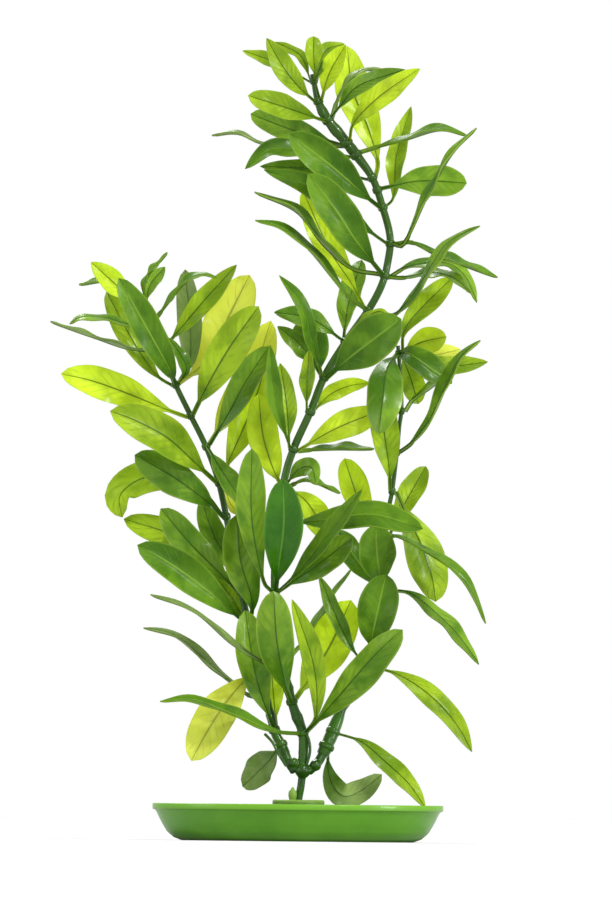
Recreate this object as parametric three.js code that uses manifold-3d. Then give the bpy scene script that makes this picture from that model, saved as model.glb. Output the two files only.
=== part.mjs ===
// Potted hygrophila: an artificial aquarium plant in a shallow green dish.
// Millimetres, +Z up. The plant is seen along +Y, with +X to the right.
// The origin is the middle of the flat foot under the dish.

import * as THREE from 'three';
import { mergeVertices } from 'three/addons/utils/BufferGeometryUtils.js';
import Module from 'manifold-3d';

const wasm = await Module();
wasm.setup();

// Dish
const DISH_WIDTH = 108.4;
const DISH_DEPTH = 78;
const DISH_HEIGHT = 13.8;
const DISH_WALL = 1.8;
const DISH_FLOOR_TOP = 2.6;
const DISH_RECESS = 0.8;
const DISH_SIDES = 24;
const FOOT_RING_OUTER = 43.2;
const FOOT_RING_INNER = 39;
const RIM_LIP_DEPTH = 2.4;

// Hub in the middle of the dish
const HUB_X = 0.2;
const HUB_FOOT_RADIUS = 8.5;
const BOSS_RADIUS = 7.4;
const BOSS_TOP = 12.6;
const BORE_RADIUS = 3.2;
const BORE_FLOOR = 5;
const PLUG_RADIUS = 2.8;
const PLUG_BOTTOM = 5.4;
const FLANGE_RADIUS = 9.7;
const FLANGE_BOTTOM = 13;
const FLANGE_TOP = 15.5;
const SOCKET_RADIUS = 1.9;
const SOCKET_FLOOR = 9;
const HUB_SIDES = 12;
const BUD_RADIUS = 1.6;
const BUD_STRETCH = 1.8;
const BUD_PLACE = [-2, -2.3, 17.4];

// Post, crown and stems
const POST_RADIUS = 1.5;
const POST_BOTTOM = 9.3;
const CROWN_RADIUS = 1.8;
const CROWN_KNOT_RADIUS = 3.4;
const CROWN_KNOT = [1.7, 0, 26.6];
const STUB_TOP = 33;
const JOINT_GAP = 0.3;
const STEM_SIDES = 6;
const STEM_STEPS = 17;
const CROWN_STEPS = 3;
const POST_STEPS = 5;
const CENTRE_STEM_RADIUS = 1.4;
const LEFT_STEM_RADIUS = 1.25;
const RIGHT_STEM_RADIUS = 1.15;
const KNOT_RADIUS = 2.1;
const CENTRE_KNOTS = [46, 57, 265];
const LEFT_KNOTS = [47];
const RIGHT_KNOTS = [46, 52];

// Leaves and the collars that they grow from
const COLLAR_GAP = 0.35;
const COLLAR_WALL = 0.9;
const COLLAR_HEIGHT = 2.8;
const COLLAR_SIDES = 6;
const PETIOLE_WIDTH = 1.4;
const PETIOLE_SHARE = 0.1;
const LEAF_SIDES = 3;
const LEAF_THICKNESS = 0.9;
const LEAF_TIP_WIDTH = 0.5;
const SHORT_LEAF_STEPS = 4;
const LONG_LEAF_STEPS = 5;
// The share of a blade's length where it is widest, and how bluntly it ends (less is blunter)
const SLIM_WIDTH = 9.2;
const SLIM_OUTLINE = { peak: 0.48, bluntness: 0.85 };
const BROAD_OUTLINE = { peak: 0.58, bluntness: 0.6 };
const TIP_POWER = 2.3;
const TOWARDS_VIEWER = new THREE.Vector3(0, -1, 0);

// The points below are x, depth and height. The depths are multiplied by a number that sets how far
// the plant spreads towards the viewer and away, and the plant leans to the left by an angle.
const DEPTH_SPREAD = 1.4;
const LEAN = THREE.MathUtils.degToRad(0.6);
const place = ([x, depth, z]) => new THREE.Vector3(
  x * Math.cos(LEAN) - z * Math.sin(LEAN),
  depth * DEPTH_SPREAD,
  z * Math.cos(LEAN) + x * Math.sin(LEAN),
);

// The routes of the stems, from the crown up
const CENTRE_ROUTE = [
  [2, 0, 29], [2, 0, 40], [-1.5, -1, 50], [-4.5, -2, 62], [-7, -3, 80], [-8.5, -3, 96],
  [-7.5, -4, 115], [-5, -4, 134], [-1.5, -4, 146], [4.8, -4, 160], [10, -4, 173], [18, -4, 186],
  [26.5, -4, 198], [31.3, -4, 207], [33.5, -3, 215], [34.5, -3, 225], [31.5, -2, 237],
  [28, -2, 247], [22.5, -1, 255], [17, -1, 262], [12, 0, 268], [8, 0, 275], [5.5, 0, 286],
];
const LEFT_ROUTE = [
  [-1, 0, 26], [-3.5, 1, 30], [-6, 2, 36], [-8.5, 3, 41], [-12, 4, 55], [-15, 5, 67], [-18, 6, 80],
  [-20.5, 7, 91], [-23.5, 8, 104], [-26, 9, 118], [-28, 9, 128], [-30, 10, 136], [-34, 10, 147],
  [-39.7, 10, 158.5], [-45.3, 10, 170], [-50, 10, 181], [-54.5, 10, 191], [-58.5, 10, 202],
];
const RIGHT_ROUTE = [
  [4, 0, 26], [8, 1, 30], [12, 2, 38], [14, 3, 43], [17, 4, 50], [19.5, 4, 54], [24, 5, 62],
  [28, 6, 73], [31, 7, 88], [32.3, 7, 100], [32.5, 8, 114], [34, 8, 124], [35.5, 8, 132],
  [37.2, 8, 146], [38, 8, 155], [38.8, 8, 161], [38.5, 8, 172], [37.5, 8, 185],
];
const POST_ROUTE = [[0.3, 0, POST_BOTTOM], [0.4, 0, 15.6], [1.2, 0, 20], [1.8, 0, 25], [2, 0, 28]];

// A leaf: the width of its blade, how far its face turns up from the viewer (degrees), and the
// points that it passes through after its collar, the last one its tip.
const leaf = (width, roll, ...through) => ({ width, roll, through });
const sprig = (height, ...leaves) => ({ height, leaves });

const CENTRE_SPRIGS = [
  sprig(40.5,
    leaf(13, 20, [8, -6, 45.5], [18, -13, 56.5], [29, -18, 69], [39, -21, 78.6]),
    leaf(9, 25, [7, -5, 48], [6, -7, 66], [-2, -8, 90]),
    leaf(7, 60, [-9, -9, 41.3], [-24, -14, 47.5], [-38, -18, 52.5], [-51, -22, 52])),
  sprig(52,
    leaf(15.5, 10, [-5, -9, 60], [-8, -16, 75], [-9, -20, 93]),
    leaf(17, 15, [4, 6, 60], [12, 11, 73], [20, 14, 90])),
  sprig(67,
    leaf(8, 80, [-12, -9, 66.5], [-24, -14, 74], [-38, -17, 86], [-54.6, -19, 91.7]),
    leaf(8, 76, [4, 2, 77], [10, 5, 88], [20, 8, 101.5])),
  sprig(93,
    leaf(15.2, 8, [-7, -12, 102], [-5.2, -20, 118], [-5.4, -23, 134.5]),
    leaf(7, 20, [-1, -9, 99], [6, -14, 108], [24, -28, 130.5]),
    leaf(12, 15, [1, -6, 98.5], [10, -9, 105], [20.5, -11, 113]),
    leaf(11.5, 15, [-13, -7, 98], [-17, -12, 120], [-17, -14, 146])),
  sprig(118,
    leaf(11, 18, [3.5, -10, 119], [10, -14, 119.5], [28, -20, 121.5], [46.5, -24, 116])),
  sprig(132,
    leaf(7, 10, [0, -12, 138], [5, -20, 139], [7, -26, 132.5]),
    leaf(6, 74, [4, -9, 134.5], [16, -13, 129.5]),
    leaf(10.5, 15, [4, 2, 126], [12, 8, 113]),
    leaf(12, 15, [-9.5, 6, 140], [-13, 9, 152], [-14.5, 10, 167])),
  sprig(146,
    leaf(6, 20, [-8, -12, 163], [-10.2, -16, 184.6]),
    leaf(8.5, 15, [-4, -6, 163], [-6.5, -6, 178]),
    leaf(11, 15, [14, -8, 153.5], [31, -6, 160.5]),
    leaf(8, 75, [14, -2, 146.6], [28.6, -3, 146.2])),
  sprig(160,
    leaf(6, 20, [3.6, -7, 171], [4.5, -6, 183]),
    leaf(7, 15, [12, 2, 166.5], [19, 4, 169.8], [27, 5, 171])),
  sprig(173,
    leaf(6, 30, [5, -15, 187], [1.5, -18, 200], [-6.8, -19, 210.3]),
    leaf(13.5, 10, [6.5, 2, 182], [1.5, 7, 194.5]),
    leaf(7.5, 20, [2, 1, 184], [-7.5, 1, 192]),
    leaf(17.5, 12, [20, -12, 180.5], [30, -19, 188], [38.5, -22, 194])),
  sprig(186,
    leaf(9.5, 20, [19, 6, 201], [24, 10, 217]),
    leaf(8, 20, [5, -10, 194.5], [-8.7, -13, 196.8]),
    leaf(4, 40, [24, -9, 193], [30, -12, 197], [35, -13, 194.5])),
  sprig(198,
    leaf(9, 74, [18, -9, 204], [5, -12, 220], [-5, -14, 227.8], [-15.7, -15, 230.9]),
    leaf(11.5, 15, [20, 0, 208], [12, 4, 221], [2, 9, 243]),
    leaf(9, 70, [36, -8, 196], [43, -14, 203.5], [51, -20, 216], [56, -23, 222.5], [67.7, -26, 228.4])),
  sprig(211,
    leaf(14, 12, [22, -14, 223], [14, -18, 235], [4, -20, 248]),
    leaf(8, 74, [20, -7, 213.5], [10, -9, 222.5], [0, -10, 234.8], [-16, -10, 241.6]),
    leaf(8, 56, [42, 2, 214.5], [55, 4, 216], [62.5, 5, 211], [66.9, 6, 201]),
    leaf(8, 64, [40, -4, 210], [50, -6, 211.8], [58, -8, 209.8], [64.5, -10, 204])),
  sprig(223,
    leaf(9, 75, [40, -8, 223], [48, -14, 241], [57, -18, 256], [66.5, -20, 265]),
    leaf(9, 72, [43, -4, 223], [53, -7, 218.2], [62, -9, 214.9], [74.5, -11, 209.8]),
    leaf(8.5, 15, [27, -8, 227], [5, -9, 243.5], [-12.5, -8, 250])),
  sprig(236.5,
    leaf(13.5, 10, [25, -8, 240.5], [13, -14, 251], [-3, -19, 263]),
    leaf(7.5, 20, [36, 3, 241], [37, 8, 256], [42.5, 14, 274.5])),
  sprig(243,
    leaf(12.5, 15, [46, -5, 246], [63, -8, 245])),
  sprig(247.5,
    leaf(13.5, 12, [29.8, 2, 254], [26, 6, 267], [20.5, 9, 281], [18.5, 12, 297]),
    leaf(7.5, 20, [10, 6, 250.5], [-14, 10, 252])),
  sprig(256,
    leaf(8, 77, [27, -1, 258], [40, -3, 262], [53, -5, 265.5], [63.2, -6, 262.8]),
    leaf(8, 35, [10, -4, 256.5], [-9, -6, 258], [-19.5, -9, 250.3])),
  sprig(260.5,
    leaf(9, 15, [21.3, -6, 268], [31, -13, 277.5], [45.5, -22, 287]),
    leaf(10.5, 15, [-2, 4, 265.5], [-17.5, 8, 271.5]),
    leaf(7, 80, [-10, 2, 260], [-22, 3, 264.3], [-32, 4, 263.3])),
  sprig(269,
    leaf(7, 20, [16, -3, 274], [23, -8, 281.5], [40, -14, 287]),
    leaf(5, 78, [16, 2, 279], [23.5, 5, 287.5], [34, 7, 287.5]),
    leaf(9.5, 12, [-4, -10, 273], [-18.3, -16, 277.3])),
  sprig(276,
    leaf(9, 15, [0, -5, 281.5], [-6, -7, 289.5], [-11.5, -8, 299]),
    leaf(8.5, 20, [12, -5, 286.5], [18, -9, 296.5])),
  sprig(283.5,
    leaf(5.5, 20, [-8, 6, 290.5], [-20.5, 10, 295.2]),
    leaf(4, 20, [1, 3, 293], [-8.5, 5, 298.2]),
    leaf(6.5, 15, [6, -3, 292], [6, -2, 300]),
    leaf(5.5, 20, [10, 4, 294.5], [17.5, 8, 297.7]),
    leaf(3, 30, [8, -5, 287], [9.5, -8, 291])),
];

const LEFT_SPRIGS = [
  sprig(36,
    leaf(12, 20, [-9.5, 9, 31.5], [-14, 16, 27], [-20.5, 22, 20.5])),
  sprig(41.5,
    leaf(13, 12, [-15, -4, 60], [-19.5, -5, 86]),
    leaf(9, 15, [-8.5, 6, 49], [-9.5, 8, 61], [-11, 8, 75])),
  sprig(57,
    leaf(8, 74, [-17, 9, 54], [-25.5, 9, 60], [-36, 8, 69], [-46, 8, 77], [-57.5, 8, 79.6]),
    leaf(15, 12, [-19, 0, 60], [-26, -5, 52.5], [-33, -9, 42], [-39.5, -12, 30])),
  sprig(81,
    leaf(13.5, 12, [-26, -2, 87], [-38, -7, 97], [-49, -11, 104.5], [-59.5, -14, 110.2]),
    leaf(11, 15, [-24, 10, 90], [-33, 15, 101]),
    leaf(13.5, 12, [-17, 0, 90], [-21.3, -4, 105], [-22.5, -6, 121.8])),
  sprig(93,
    leaf(12, 12, [-27, 4, 98], [-39, 2, 110], [-51, 0, 124]),
    leaf(11.5, 15, [-33, 14, 106], [-45, 18, 114], [-65, 22, 120.5]),
    leaf(10.5, 15, [-25, 15, 104], [-31, 20, 114], [-36, 22, 128])),
  sprig(121,
    leaf(13.5, 12, [-33, 5, 126], [-45, 2, 135], [-60.6, -2, 144]),
    leaf(14, 20, [-36, 14, 131], [-47, 17, 136], [-58, 18, 136], [-66.5, 16, 129.5], [-65.5, 12, 121])),
  sprig(133.5,
    leaf(14.5, 12, [-37, 3, 140], [-48, -6, 150], [-60, -11, 156.5], [-69.6, -14, 160]),
    leaf(14.5, 12, [-26, 12, 141], [-18, 14, 160], [-11, 16, 180]),
    leaf(4.5, 25, [-27, 13, 131], [-25, 14, 126], [-20.5, 14, 121])),
  sprig(147,
    leaf(11, 15, [-25, 6, 161], [-19, 4, 172], [-10.5, 3, 184.6]),
    leaf(8.5, 25, [-28, 2, 138], [-17, -4, 121.5]),
    leaf(14, 10, [-26, 24, 160], [-17, 30, 174], [-10, 32, 195])),
  sprig(158.5,
    leaf(12.5, 12, [-50, 6, 161.5], [-62, 3, 166.5], [-76, 0, 171.5], [-88, -3, 174.2]),
    leaf(14.5, 12, [-33, 0, 171], [-25, -3, 184.5], [-14.5, -6, 199.2])),
  sprig(170,
    leaf(9.5, 12, [-53, 14, 174.5], [-61, 17, 186], [-71.5, 20, 205.5]),
    leaf(5, 30, [-41.5, 5, 176], [-44, 5, 182], [-48.5, 5, 188]),
    leaf(16.5, 10, [-34, 20, 180], [-25, 25, 198], [-18, 28, 212]),
    leaf(9.5, 10, [-40, 20, 183], [-42, 26, 214]),
    leaf(12, 12, [-48, -3, 176.5], [-57, -10, 193], [-66.5, -13, 209.5])),
  sprig(183,
    leaf(8.5, 15, [-46, 7, 188.5], [-35, 5, 201.5], [-22.7, 3, 215]),
    leaf(8, 83, [-63, 2, 184], [-75, -2, 188], [-92, -6, 193.6])),
  sprig(192.5,
    leaf(7, 66, [-62, 8, 192.5], [-72, 6, 195.5], [-80, 5, 195.7], [-85, 5, 193]),
    leaf(7, 76, [-43, 0, 207.5], [-36, -2, 211.2], [-30, -3, 210])),
  sprig(199.5,
    leaf(9, 15, [-68, 6, 208], [-77, 3, 216]),
    leaf(6, 76, [-70, 12, 209], [-81.7, 14, 208]),
    leaf(5, 74, [-57, 7, 209.5], [-48.6, 5, 219.7]),
    leaf(6, 15, [-55, 13, 208], [-49.5, 15, 214.6])),
];

const RIGHT_SPRIGS = [
  sprig(35.5,
    leaf(9.5, 10, [12, 12, 24], [17, 18, 17], [24, 23, 19], [31.5, 26, 25])),
  sprig(41,
    leaf(7.5, 15, [24, 3, 37], [33, 3, 29.5], [41.5, 4, 21.5], [47.8, 4, 12.3])),
  sprig(66,
    leaf(8.5, 15, [38, 4, 62], [50, 2, 54], [59, 0, 44], [65, -2, 33.3]),
    leaf(6.5, 20, [18, 1, 76], [8, -3, 99])),
  sprig(70.5,
    leaf(15.5, 10, [28.5, -3, 80], [33, -5, 99.5])),
  sprig(94,
    leaf(8, 48, [42, 10, 92.5], [52, 12, 85], [60, 13, 77], [67.7, 14, 66]),
    leaf(14.5, 10, [30, -0.6, 104], [29, -2.7, 118]),
    leaf(9.5, 15, [27, 10, 98], [21.5, 9, 106], [14.5, 7, 116])),
  sprig(114,
    leaf(8, 72, [38.5, -5, 113.3], [50, -8, 107], [58, -10, 101.5], [64, -11, 95], [70, -12, 81]),
    leaf(9.5, 15, [40, 10, 126], [48, 13, 140]),
    leaf(11.5, 15, [25, 11, 122], [17.5, 14, 143])),
  sprig(131,
    leaf(15, 15, [40, 6, 123], [46, 4, 111], [50, 1, 99], [51.5, 0, 89.3]),
    leaf(11.5, 15, [34, 4, 141], [32.5, 3, 152], [31, 3, 166])),
  sprig(145.5,
    leaf(9, 66, [43, 0, 149], [49.5, -5, 158], [54.5, -8, 169], [60, -12, 179.5], [68, -15, 186.3])),
  sprig(161,
    leaf(8, 75, [43.5, 10, 165.3], [52, 11, 172], [60, 12, 180])),
  sprig(182.5,
    leaf(14, 12, [33.5, -5, 176], [32, -12, 165], [30.5, -15, 151.5]),
    leaf(9.5, 15, [40, 9, 191], [47, 11, 200], [57.7, 15, 210.4]),
    leaf(10, 15, [46, 2, 186], [55.5, -1, 188]),
    leaf(10.5, 15, [43, -2.6, 181], [57.5, -4.3, 170.5]),
    leaf(9.5, 12, [42, 14, 174], [45.2, 17, 163.5]),
    leaf(8, 15, [44, 12, 179], [55, 18, 177.5], [71.2, 22, 179.3]),
    leaf(8.5, 15, [47, 16, 181], [61, 24, 184])),
];

const material = (color, roughness) =>
  new THREE.MeshStandardMaterial({ color, roughness, metalness: 0 });

const DISH_GREEN = material('#4f8a28', 0.35);
const HUB_GREEN = material('#7c9a45', 0.4);
const STEM_GREEN = material('#25461c', 0.3);
const LEAF_GREEN = material('#7aa822', 0.4);

// A closed solid from a geometry: only the positions are left, and shared corners are merged.
function toSolid(geometry) {
  const bare = geometry.clone();
  bare.deleteAttribute('normal');
  bare.deleteAttribute('uv');
  const merged = mergeVertices(bare, 1e-4);
  return new wasm.Manifold(new wasm.Mesh({
    numProp: 3,
    vertProperties: new Float32Array(merged.attributes.position.array),
    triVerts: new Uint32Array(merged.index.array),
  }));
}

function toMesh(solid, name, finish) {
  const { vertProperties, triVerts } = solid.getMesh();
  const geometry = new THREE.BufferGeometry();
  geometry.setAttribute('position', new THREE.BufferAttribute(vertProperties, 3));
  geometry.setIndex(new THREE.BufferAttribute(triVerts, 1));
  geometry.computeVertexNormals();
  const mesh = new THREE.Mesh(geometry, finish);
  mesh.name = name;
  return mesh;
}

const join = (solids) => solids.reduce((whole, solid) => whole.add(solid));

const curveThrough = (points) => new THREE.CatmullRomCurve3(points, false, 'catmullrom', 0.5);

// The share of a rising curve's length where it reaches a height, by halving.
function shareAtHeight(curve, height) {
  let low = 0;
  let high = 1;
  for (let step = 0; step < 30; step += 1) {
    const middle = (low + high) / 2;
    if (curve.getPointAt(middle).z < height) low = middle;
    else high = middle;
  }
  return (low + high) / 2;
}

// The straight stretches that a curve has once it is a tube of a number of steps.
function chords(curve, steps) {
  const line = new THREE.CurvePath();
  const points = curve.getSpacedPoints(steps);
  for (let i = 0; i < steps; i += 1) line.add(new THREE.LineCurve3(points[i], points[i + 1]));
  return line;
}

function circle(radius, sides) {
  const corners = [];
  for (let i = 0; i < sides; i += 1) {
    const angle = (2 * Math.PI * i) / sides;
    corners.push(new THREE.Vector2(radius * Math.cos(angle), radius * Math.sin(angle)));
  }
  return new THREE.Shape(corners);
}

function tube(curve, radius, steps) {
  return toSolid(new THREE.ExtrudeGeometry(circle(radius, STEM_SIDES), {
    extrudePath: curve, steps, bevelEnabled: false,
  }));
}

function turned(profile, sides) {
  const points = profile.map(([radius, height]) => new THREE.Vector2(radius, height));
  return new THREE.LatheGeometry(points, sides).rotateX(Math.PI / 2);
}

// The part of a curve between two heights, as a curve of its own.
function stretch(curve, fromHeight, toHeight, count) {
  const start = shareAtHeight(curve, fromHeight);
  const end = shareAtHeight(curve, toHeight);
  const points = [];
  for (let i = 0; i <= count; i += 1) {
    points.push(curve.getPointAt(start + ((end - start) * i) / count));
  }
  return curveThrough(points);
}

function dish() {
  const rim = DISH_WIDTH / 2;
  const inside = rim - DISH_WALL;
  const wall = [
    [0, DISH_RECESS], [FOOT_RING_INNER, DISH_RECESS], [FOOT_RING_INNER + 0.6, 0],
    [FOOT_RING_OUTER, 0], [46, 1.1], [48.6, 3.2], [50.5, 6.2], [52.4, 10],
    [rim - 0.9, DISH_HEIGHT - RIM_LIP_DEPTH], [rim, DISH_HEIGHT - RIM_LIP_DEPTH + 0.4],
    [rim, DISH_HEIGHT - 0.3], [rim - 0.3, DISH_HEIGHT], [inside + 0.2, DISH_HEIGHT],
    [inside - 0.6, 11], [48.2, 6.4], [45.4, 3.8], [42.6, DISH_FLOOR_TOP], [0, DISH_FLOOR_TOP],
  ];
  const bowl = toSolid(turned(wall, DISH_SIDES).scale(1, DISH_DEPTH / DISH_WIDTH, 1));
  const boss = toSolid(turned([
    [0, 0], [HUB_FOOT_RADIUS, 0], [HUB_FOOT_RADIUS, DISH_FLOOR_TOP - 0.4],
    [BOSS_RADIUS, DISH_FLOOR_TOP + 1], [BOSS_RADIUS, BOSS_TOP], [BORE_RADIUS, BOSS_TOP], [BORE_RADIUS, BORE_FLOOR], [0, BORE_FLOOR],
  ], HUB_SIDES).translate(HUB_X, 0, 0));
  return toMesh(bowl.add(boss), 'dish', DISH_GREEN);
}

function hubClip() {
  const clip = turned([
    [0, PLUG_BOTTOM], [PLUG_RADIUS, PLUG_BOTTOM], [PLUG_RADIUS, FLANGE_BOTTOM],
    [FLANGE_RADIUS, FLANGE_BOTTOM], [FLANGE_RADIUS, FLANGE_TOP - 0.8],
    [FLANGE_RADIUS - 0.8, FLANGE_TOP], [SOCKET_RADIUS, FLANGE_TOP],
    [SOCKET_RADIUS, SOCKET_FLOOR], [0, SOCKET_FLOOR],
  ], HUB_SIDES).translate(HUB_X, 0, 0);
  const bud = new THREE.SphereGeometry(BUD_RADIUS, 6, 5).scale(1, 1, BUD_STRETCH).translate(...BUD_PLACE);
  return toMesh(toSolid(clip).add(toSolid(bud)), 'hub_clip', HUB_GREEN);
}

function rootCrown(lines) {
  const post = tube(curveThrough(POST_ROUTE.map(place)), POST_RADIUS, POST_STEPS);
  const knot = toSolid(new THREE.SphereGeometry(CROWN_KNOT_RADIUS, 8, 6).translate(...CROWN_KNOT));
  const stubs = lines.map(({ whole }) => {
    const stub = stretch(whole, whole.getPointAt(0).z, STUB_TOP - JOINT_GAP, CROWN_STEPS);
    return tube(stub, CROWN_RADIUS, CROWN_STEPS);
  });
  return toMesh(join([post, knot, ...stubs]), 'root_crown', STEM_GREEN);
}

// A stem above the crown: its curve, and the straight chords that its collars sit on.
function stemLine(route, radius) {
  const whole = curveThrough(route.map(place));
  const curve = stretch(whole, STUB_TOP + JOINT_GAP, whole.getPointAt(1).z, route.length * 2);
  return { whole, curve, line: chords(curve, STEM_STEPS), radius };
}

function stem(line, name, knotHeights) {
  const rod = tube(line.curve, line.radius, STEM_STEPS);
  const knots = knotHeights.map((height) => {
    const centre = line.line.getPoint(shareAtHeight(line.line, height));
    return toSolid(new THREE.SphereGeometry(KNOT_RADIUS, 6, 4).translate(...centre.toArray()));
  });
  return toMesh(join([rod, ...knots]), name, STEM_GREEN);
}

const collarInner = (stemRadius) => (stemRadius + COLLAR_GAP) / Math.cos(Math.PI / COLLAR_SIDES);

function collar(centre, axis, stemRadius) {
  const inner = collarInner(stemRadius);
  const outer = inner + COLLAR_WALL;
  const half = COLLAR_HEIGHT / 2;
  const ring = turned([
    [inner, -half], [outer, -half], [outer, half], [inner, half], [inner, -half],
  ], COLLAR_SIDES);
  const turn = new THREE.Quaternion().setFromUnitVectors(new THREE.Vector3(0, 0, 1), axis);
  return toSolid(ring.applyQuaternion(turn).translate(...centre.toArray()));
}

// The share of its full width that a blade has at a share of the leaf's length.
function bladeShare(share, { peak, bluntness }) {
  const along = Math.max(0, (share - PETIOLE_SHARE) / (1 - PETIOLE_SHARE));
  if (along <= peak) return Math.sin(((Math.PI / 2) * along) / peak);
  return (1 - ((along - peak) / (1 - peak)) ** TIP_POWER) ** bluntness;
}

// A leaf's cross-section is a low triangle, flat below with the midrib as its ridge: a cone of
// three sides, widened to the blade and bent along the midrib to the pointed tip.
function leafSolid(row, centre, axis, stemRadius) {
  const through = row.through.map(place);
  const out = through[0].clone().sub(centre);
  out.addScaledVector(axis, -out.dot(axis)).normalize();
  const base = centre.clone().addScaledVector(out, collarInner(stemRadius) + COLLAR_WALL / 2);
  const midrib = curveThrough([base, ...through]);
  const tip = through[through.length - 1];
  const leftward = tip.x < base.x ? 1 : -1;
  const roll = THREE.MathUtils.degToRad(row.roll);
  const steps = through.length > 2 ? LONG_LEAF_STEPS : SHORT_LEAF_STEPS;
  const outline = row.width < SLIM_WIDTH ? SLIM_OUTLINE : BROAD_OUTLINE;
  const bar = new THREE.CylinderGeometry(0, 1, 1, LEAF_SIDES, steps);
  const position = bar.attributes.position;
  const corner = new THREE.Vector3();
  for (let i = 0; i < position.count; i += 1) {
    corner.fromBufferAttribute(position, i);
    const share = corner.y + 0.5;
    const tangent = midrib.getTangentAt(share);
    const facing = TOWARDS_VIEWER.clone().projectOnPlane(tangent).normalize();
    const up = tangent.clone().cross(facing).multiplyScalar(leftward);
    const normal = facing.clone().multiplyScalar(Math.cos(roll)).addScaledVector(up, Math.sin(roll));
    const side = tangent.clone().cross(normal);
    const ends = THREE.MathUtils.lerp(PETIOLE_WIDTH, LEAF_TIP_WIDTH, share);
    const width = Math.max(ends, row.width * bladeShare(Math.min(share, 0.999), outline));
    const across = share < 1 ? corner.x / (1 - share) : 0;
    const above = share < 1 ? corner.z / (1 - share) : 0;
    const point = midrib.getPointAt(share)
      .addScaledVector(side, (across * width) / (2 * Math.sin((2 * Math.PI) / LEAF_SIDES)))
      .addScaledVector(normal, (above * LEAF_THICKNESS) / 1.5);
    position.setXYZ(i, point.x, point.y, point.z);
  }
  return toSolid(bar);
}

function leafSprig(row, { line, radius }, name) {
  const share = shareAtHeight(line, row.height);
  const centre = line.getPointAt(share);
  const axis = line.getTangentAt(share);
  const leaves = row.leaves.map((one) => leafSolid(one, centre, axis, radius));
  return toMesh(join([collar(centre, axis, radius), ...leaves]), name, LEAF_GREEN);
}

function plant() {
  const group = new THREE.Group();
  const centre = stemLine(CENTRE_ROUTE, CENTRE_STEM_RADIUS);
  const left = stemLine(LEFT_ROUTE, LEFT_STEM_RADIUS);
  const right = stemLine(RIGHT_ROUTE, RIGHT_STEM_RADIUS);
  group.add(dish(), hubClip(), rootCrown([centre, left, right]));
  group.add(stem(centre, 'centre_stem', CENTRE_KNOTS));
  group.add(stem(left, 'left_stem', LEFT_KNOTS));
  group.add(stem(right, 'right_stem', RIGHT_KNOTS));
  const sides = [
    ['centre', CENTRE_SPRIGS, centre],
    ['left', LEFT_SPRIGS, left],
    ['right', RIGHT_SPRIGS, right],
  ];
  for (const [side, rows, line] of sides) {
    rows.forEach((row, i) => group.add(leafSprig(row, line, `${side}_leaves_${i + 1}`)));
  }
  return group;
}

export default plant();
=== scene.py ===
"""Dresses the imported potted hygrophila, an artificial aquarium plant in a shallow green dish.

The charts and sizes are in millimetres, with the plant seen along +Y, unless a docstring says
otherwise. The scene is in metres.
"""

from __future__ import annotations

import logging
import math
from collections.abc import Callable, Sequence
from dataclasses import dataclass, field
from enum import Enum

import bmesh
import bpy
import numpy as np
from mathutils import Matrix, Vector

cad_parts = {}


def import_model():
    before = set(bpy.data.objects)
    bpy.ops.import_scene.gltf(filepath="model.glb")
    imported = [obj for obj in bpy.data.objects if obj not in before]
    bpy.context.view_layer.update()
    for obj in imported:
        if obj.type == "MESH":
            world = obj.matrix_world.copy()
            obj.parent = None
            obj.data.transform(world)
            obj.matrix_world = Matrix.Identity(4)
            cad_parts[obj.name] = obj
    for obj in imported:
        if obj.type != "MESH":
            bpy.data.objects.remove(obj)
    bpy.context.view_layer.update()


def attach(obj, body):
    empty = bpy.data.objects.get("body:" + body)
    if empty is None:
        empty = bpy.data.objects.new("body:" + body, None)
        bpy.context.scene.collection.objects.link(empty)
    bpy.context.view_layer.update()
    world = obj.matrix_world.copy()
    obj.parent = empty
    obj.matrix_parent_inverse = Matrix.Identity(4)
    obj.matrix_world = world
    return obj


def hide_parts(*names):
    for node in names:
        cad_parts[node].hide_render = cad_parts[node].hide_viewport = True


LOG = logging.getLogger("hygrophila")

MM = 0.001
LEAN = math.radians(0.6)
BODY = "root"

# What the charts' depths are multiplied by.
DEPTH_SPREAD = 1.4
# The height at which the fork's branches become the stems, and how far to the right the hub is.
STUB_TOP = 33.0
HUB_X = 0.2
# A leaf narrower than this is pointed, and most leaves fold by this angle, in degrees.
SLIM_WIDTH = 9.2
USUAL_FOLD = 14.0

Point = tuple[float, float, float]
Pair = tuple[float, float]
Piece = bpy.types.Object
Material = bpy.types.Material
Socket = bpy.types.NodeSocket


class Shade(Enum):
    """How lit each leaf is painted: its painted light and shade, from backlit yellow to deep green.
    """

    # The leaves are one plastic: each look paints the light and shade that a leaf catches or lets
    # through.
    BRIGHT = "leaf_painted_backlight"
    LIGHT = "leaf_painted_light"
    MID = "leaf_painted_mid_light"
    DARK = "leaf_painted_shade"
    DEEP = "leaf_painted_deep_shade"
    # Painted glare on the brightest backlit leaves, and painted dim shade.
    PALE = "leaf_painted_glare"
    DIM = "leaf_painted_dim_shade"


class Form(Enum):
    """The outlines that the leaf blades have."""

    BLUNT = "blunt"
    POINTED = "pointed"
    SPOON = "spoon"


@dataclass(frozen=True)
class Leaf:
    """One leaf: its blade's width, how far its face turns up, its painted shade and the points it
    passes.
    """

    width: float
    roll: float
    shade: Shade
    through: tuple[Point, ...]
    form: Form
    fold: float


@dataclass(frozen=True)
class Sprig:
    """The leaves that grow from one collar, and the collar's height on its stem."""

    height: float
    leaves: tuple[Leaf, ...]


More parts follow.
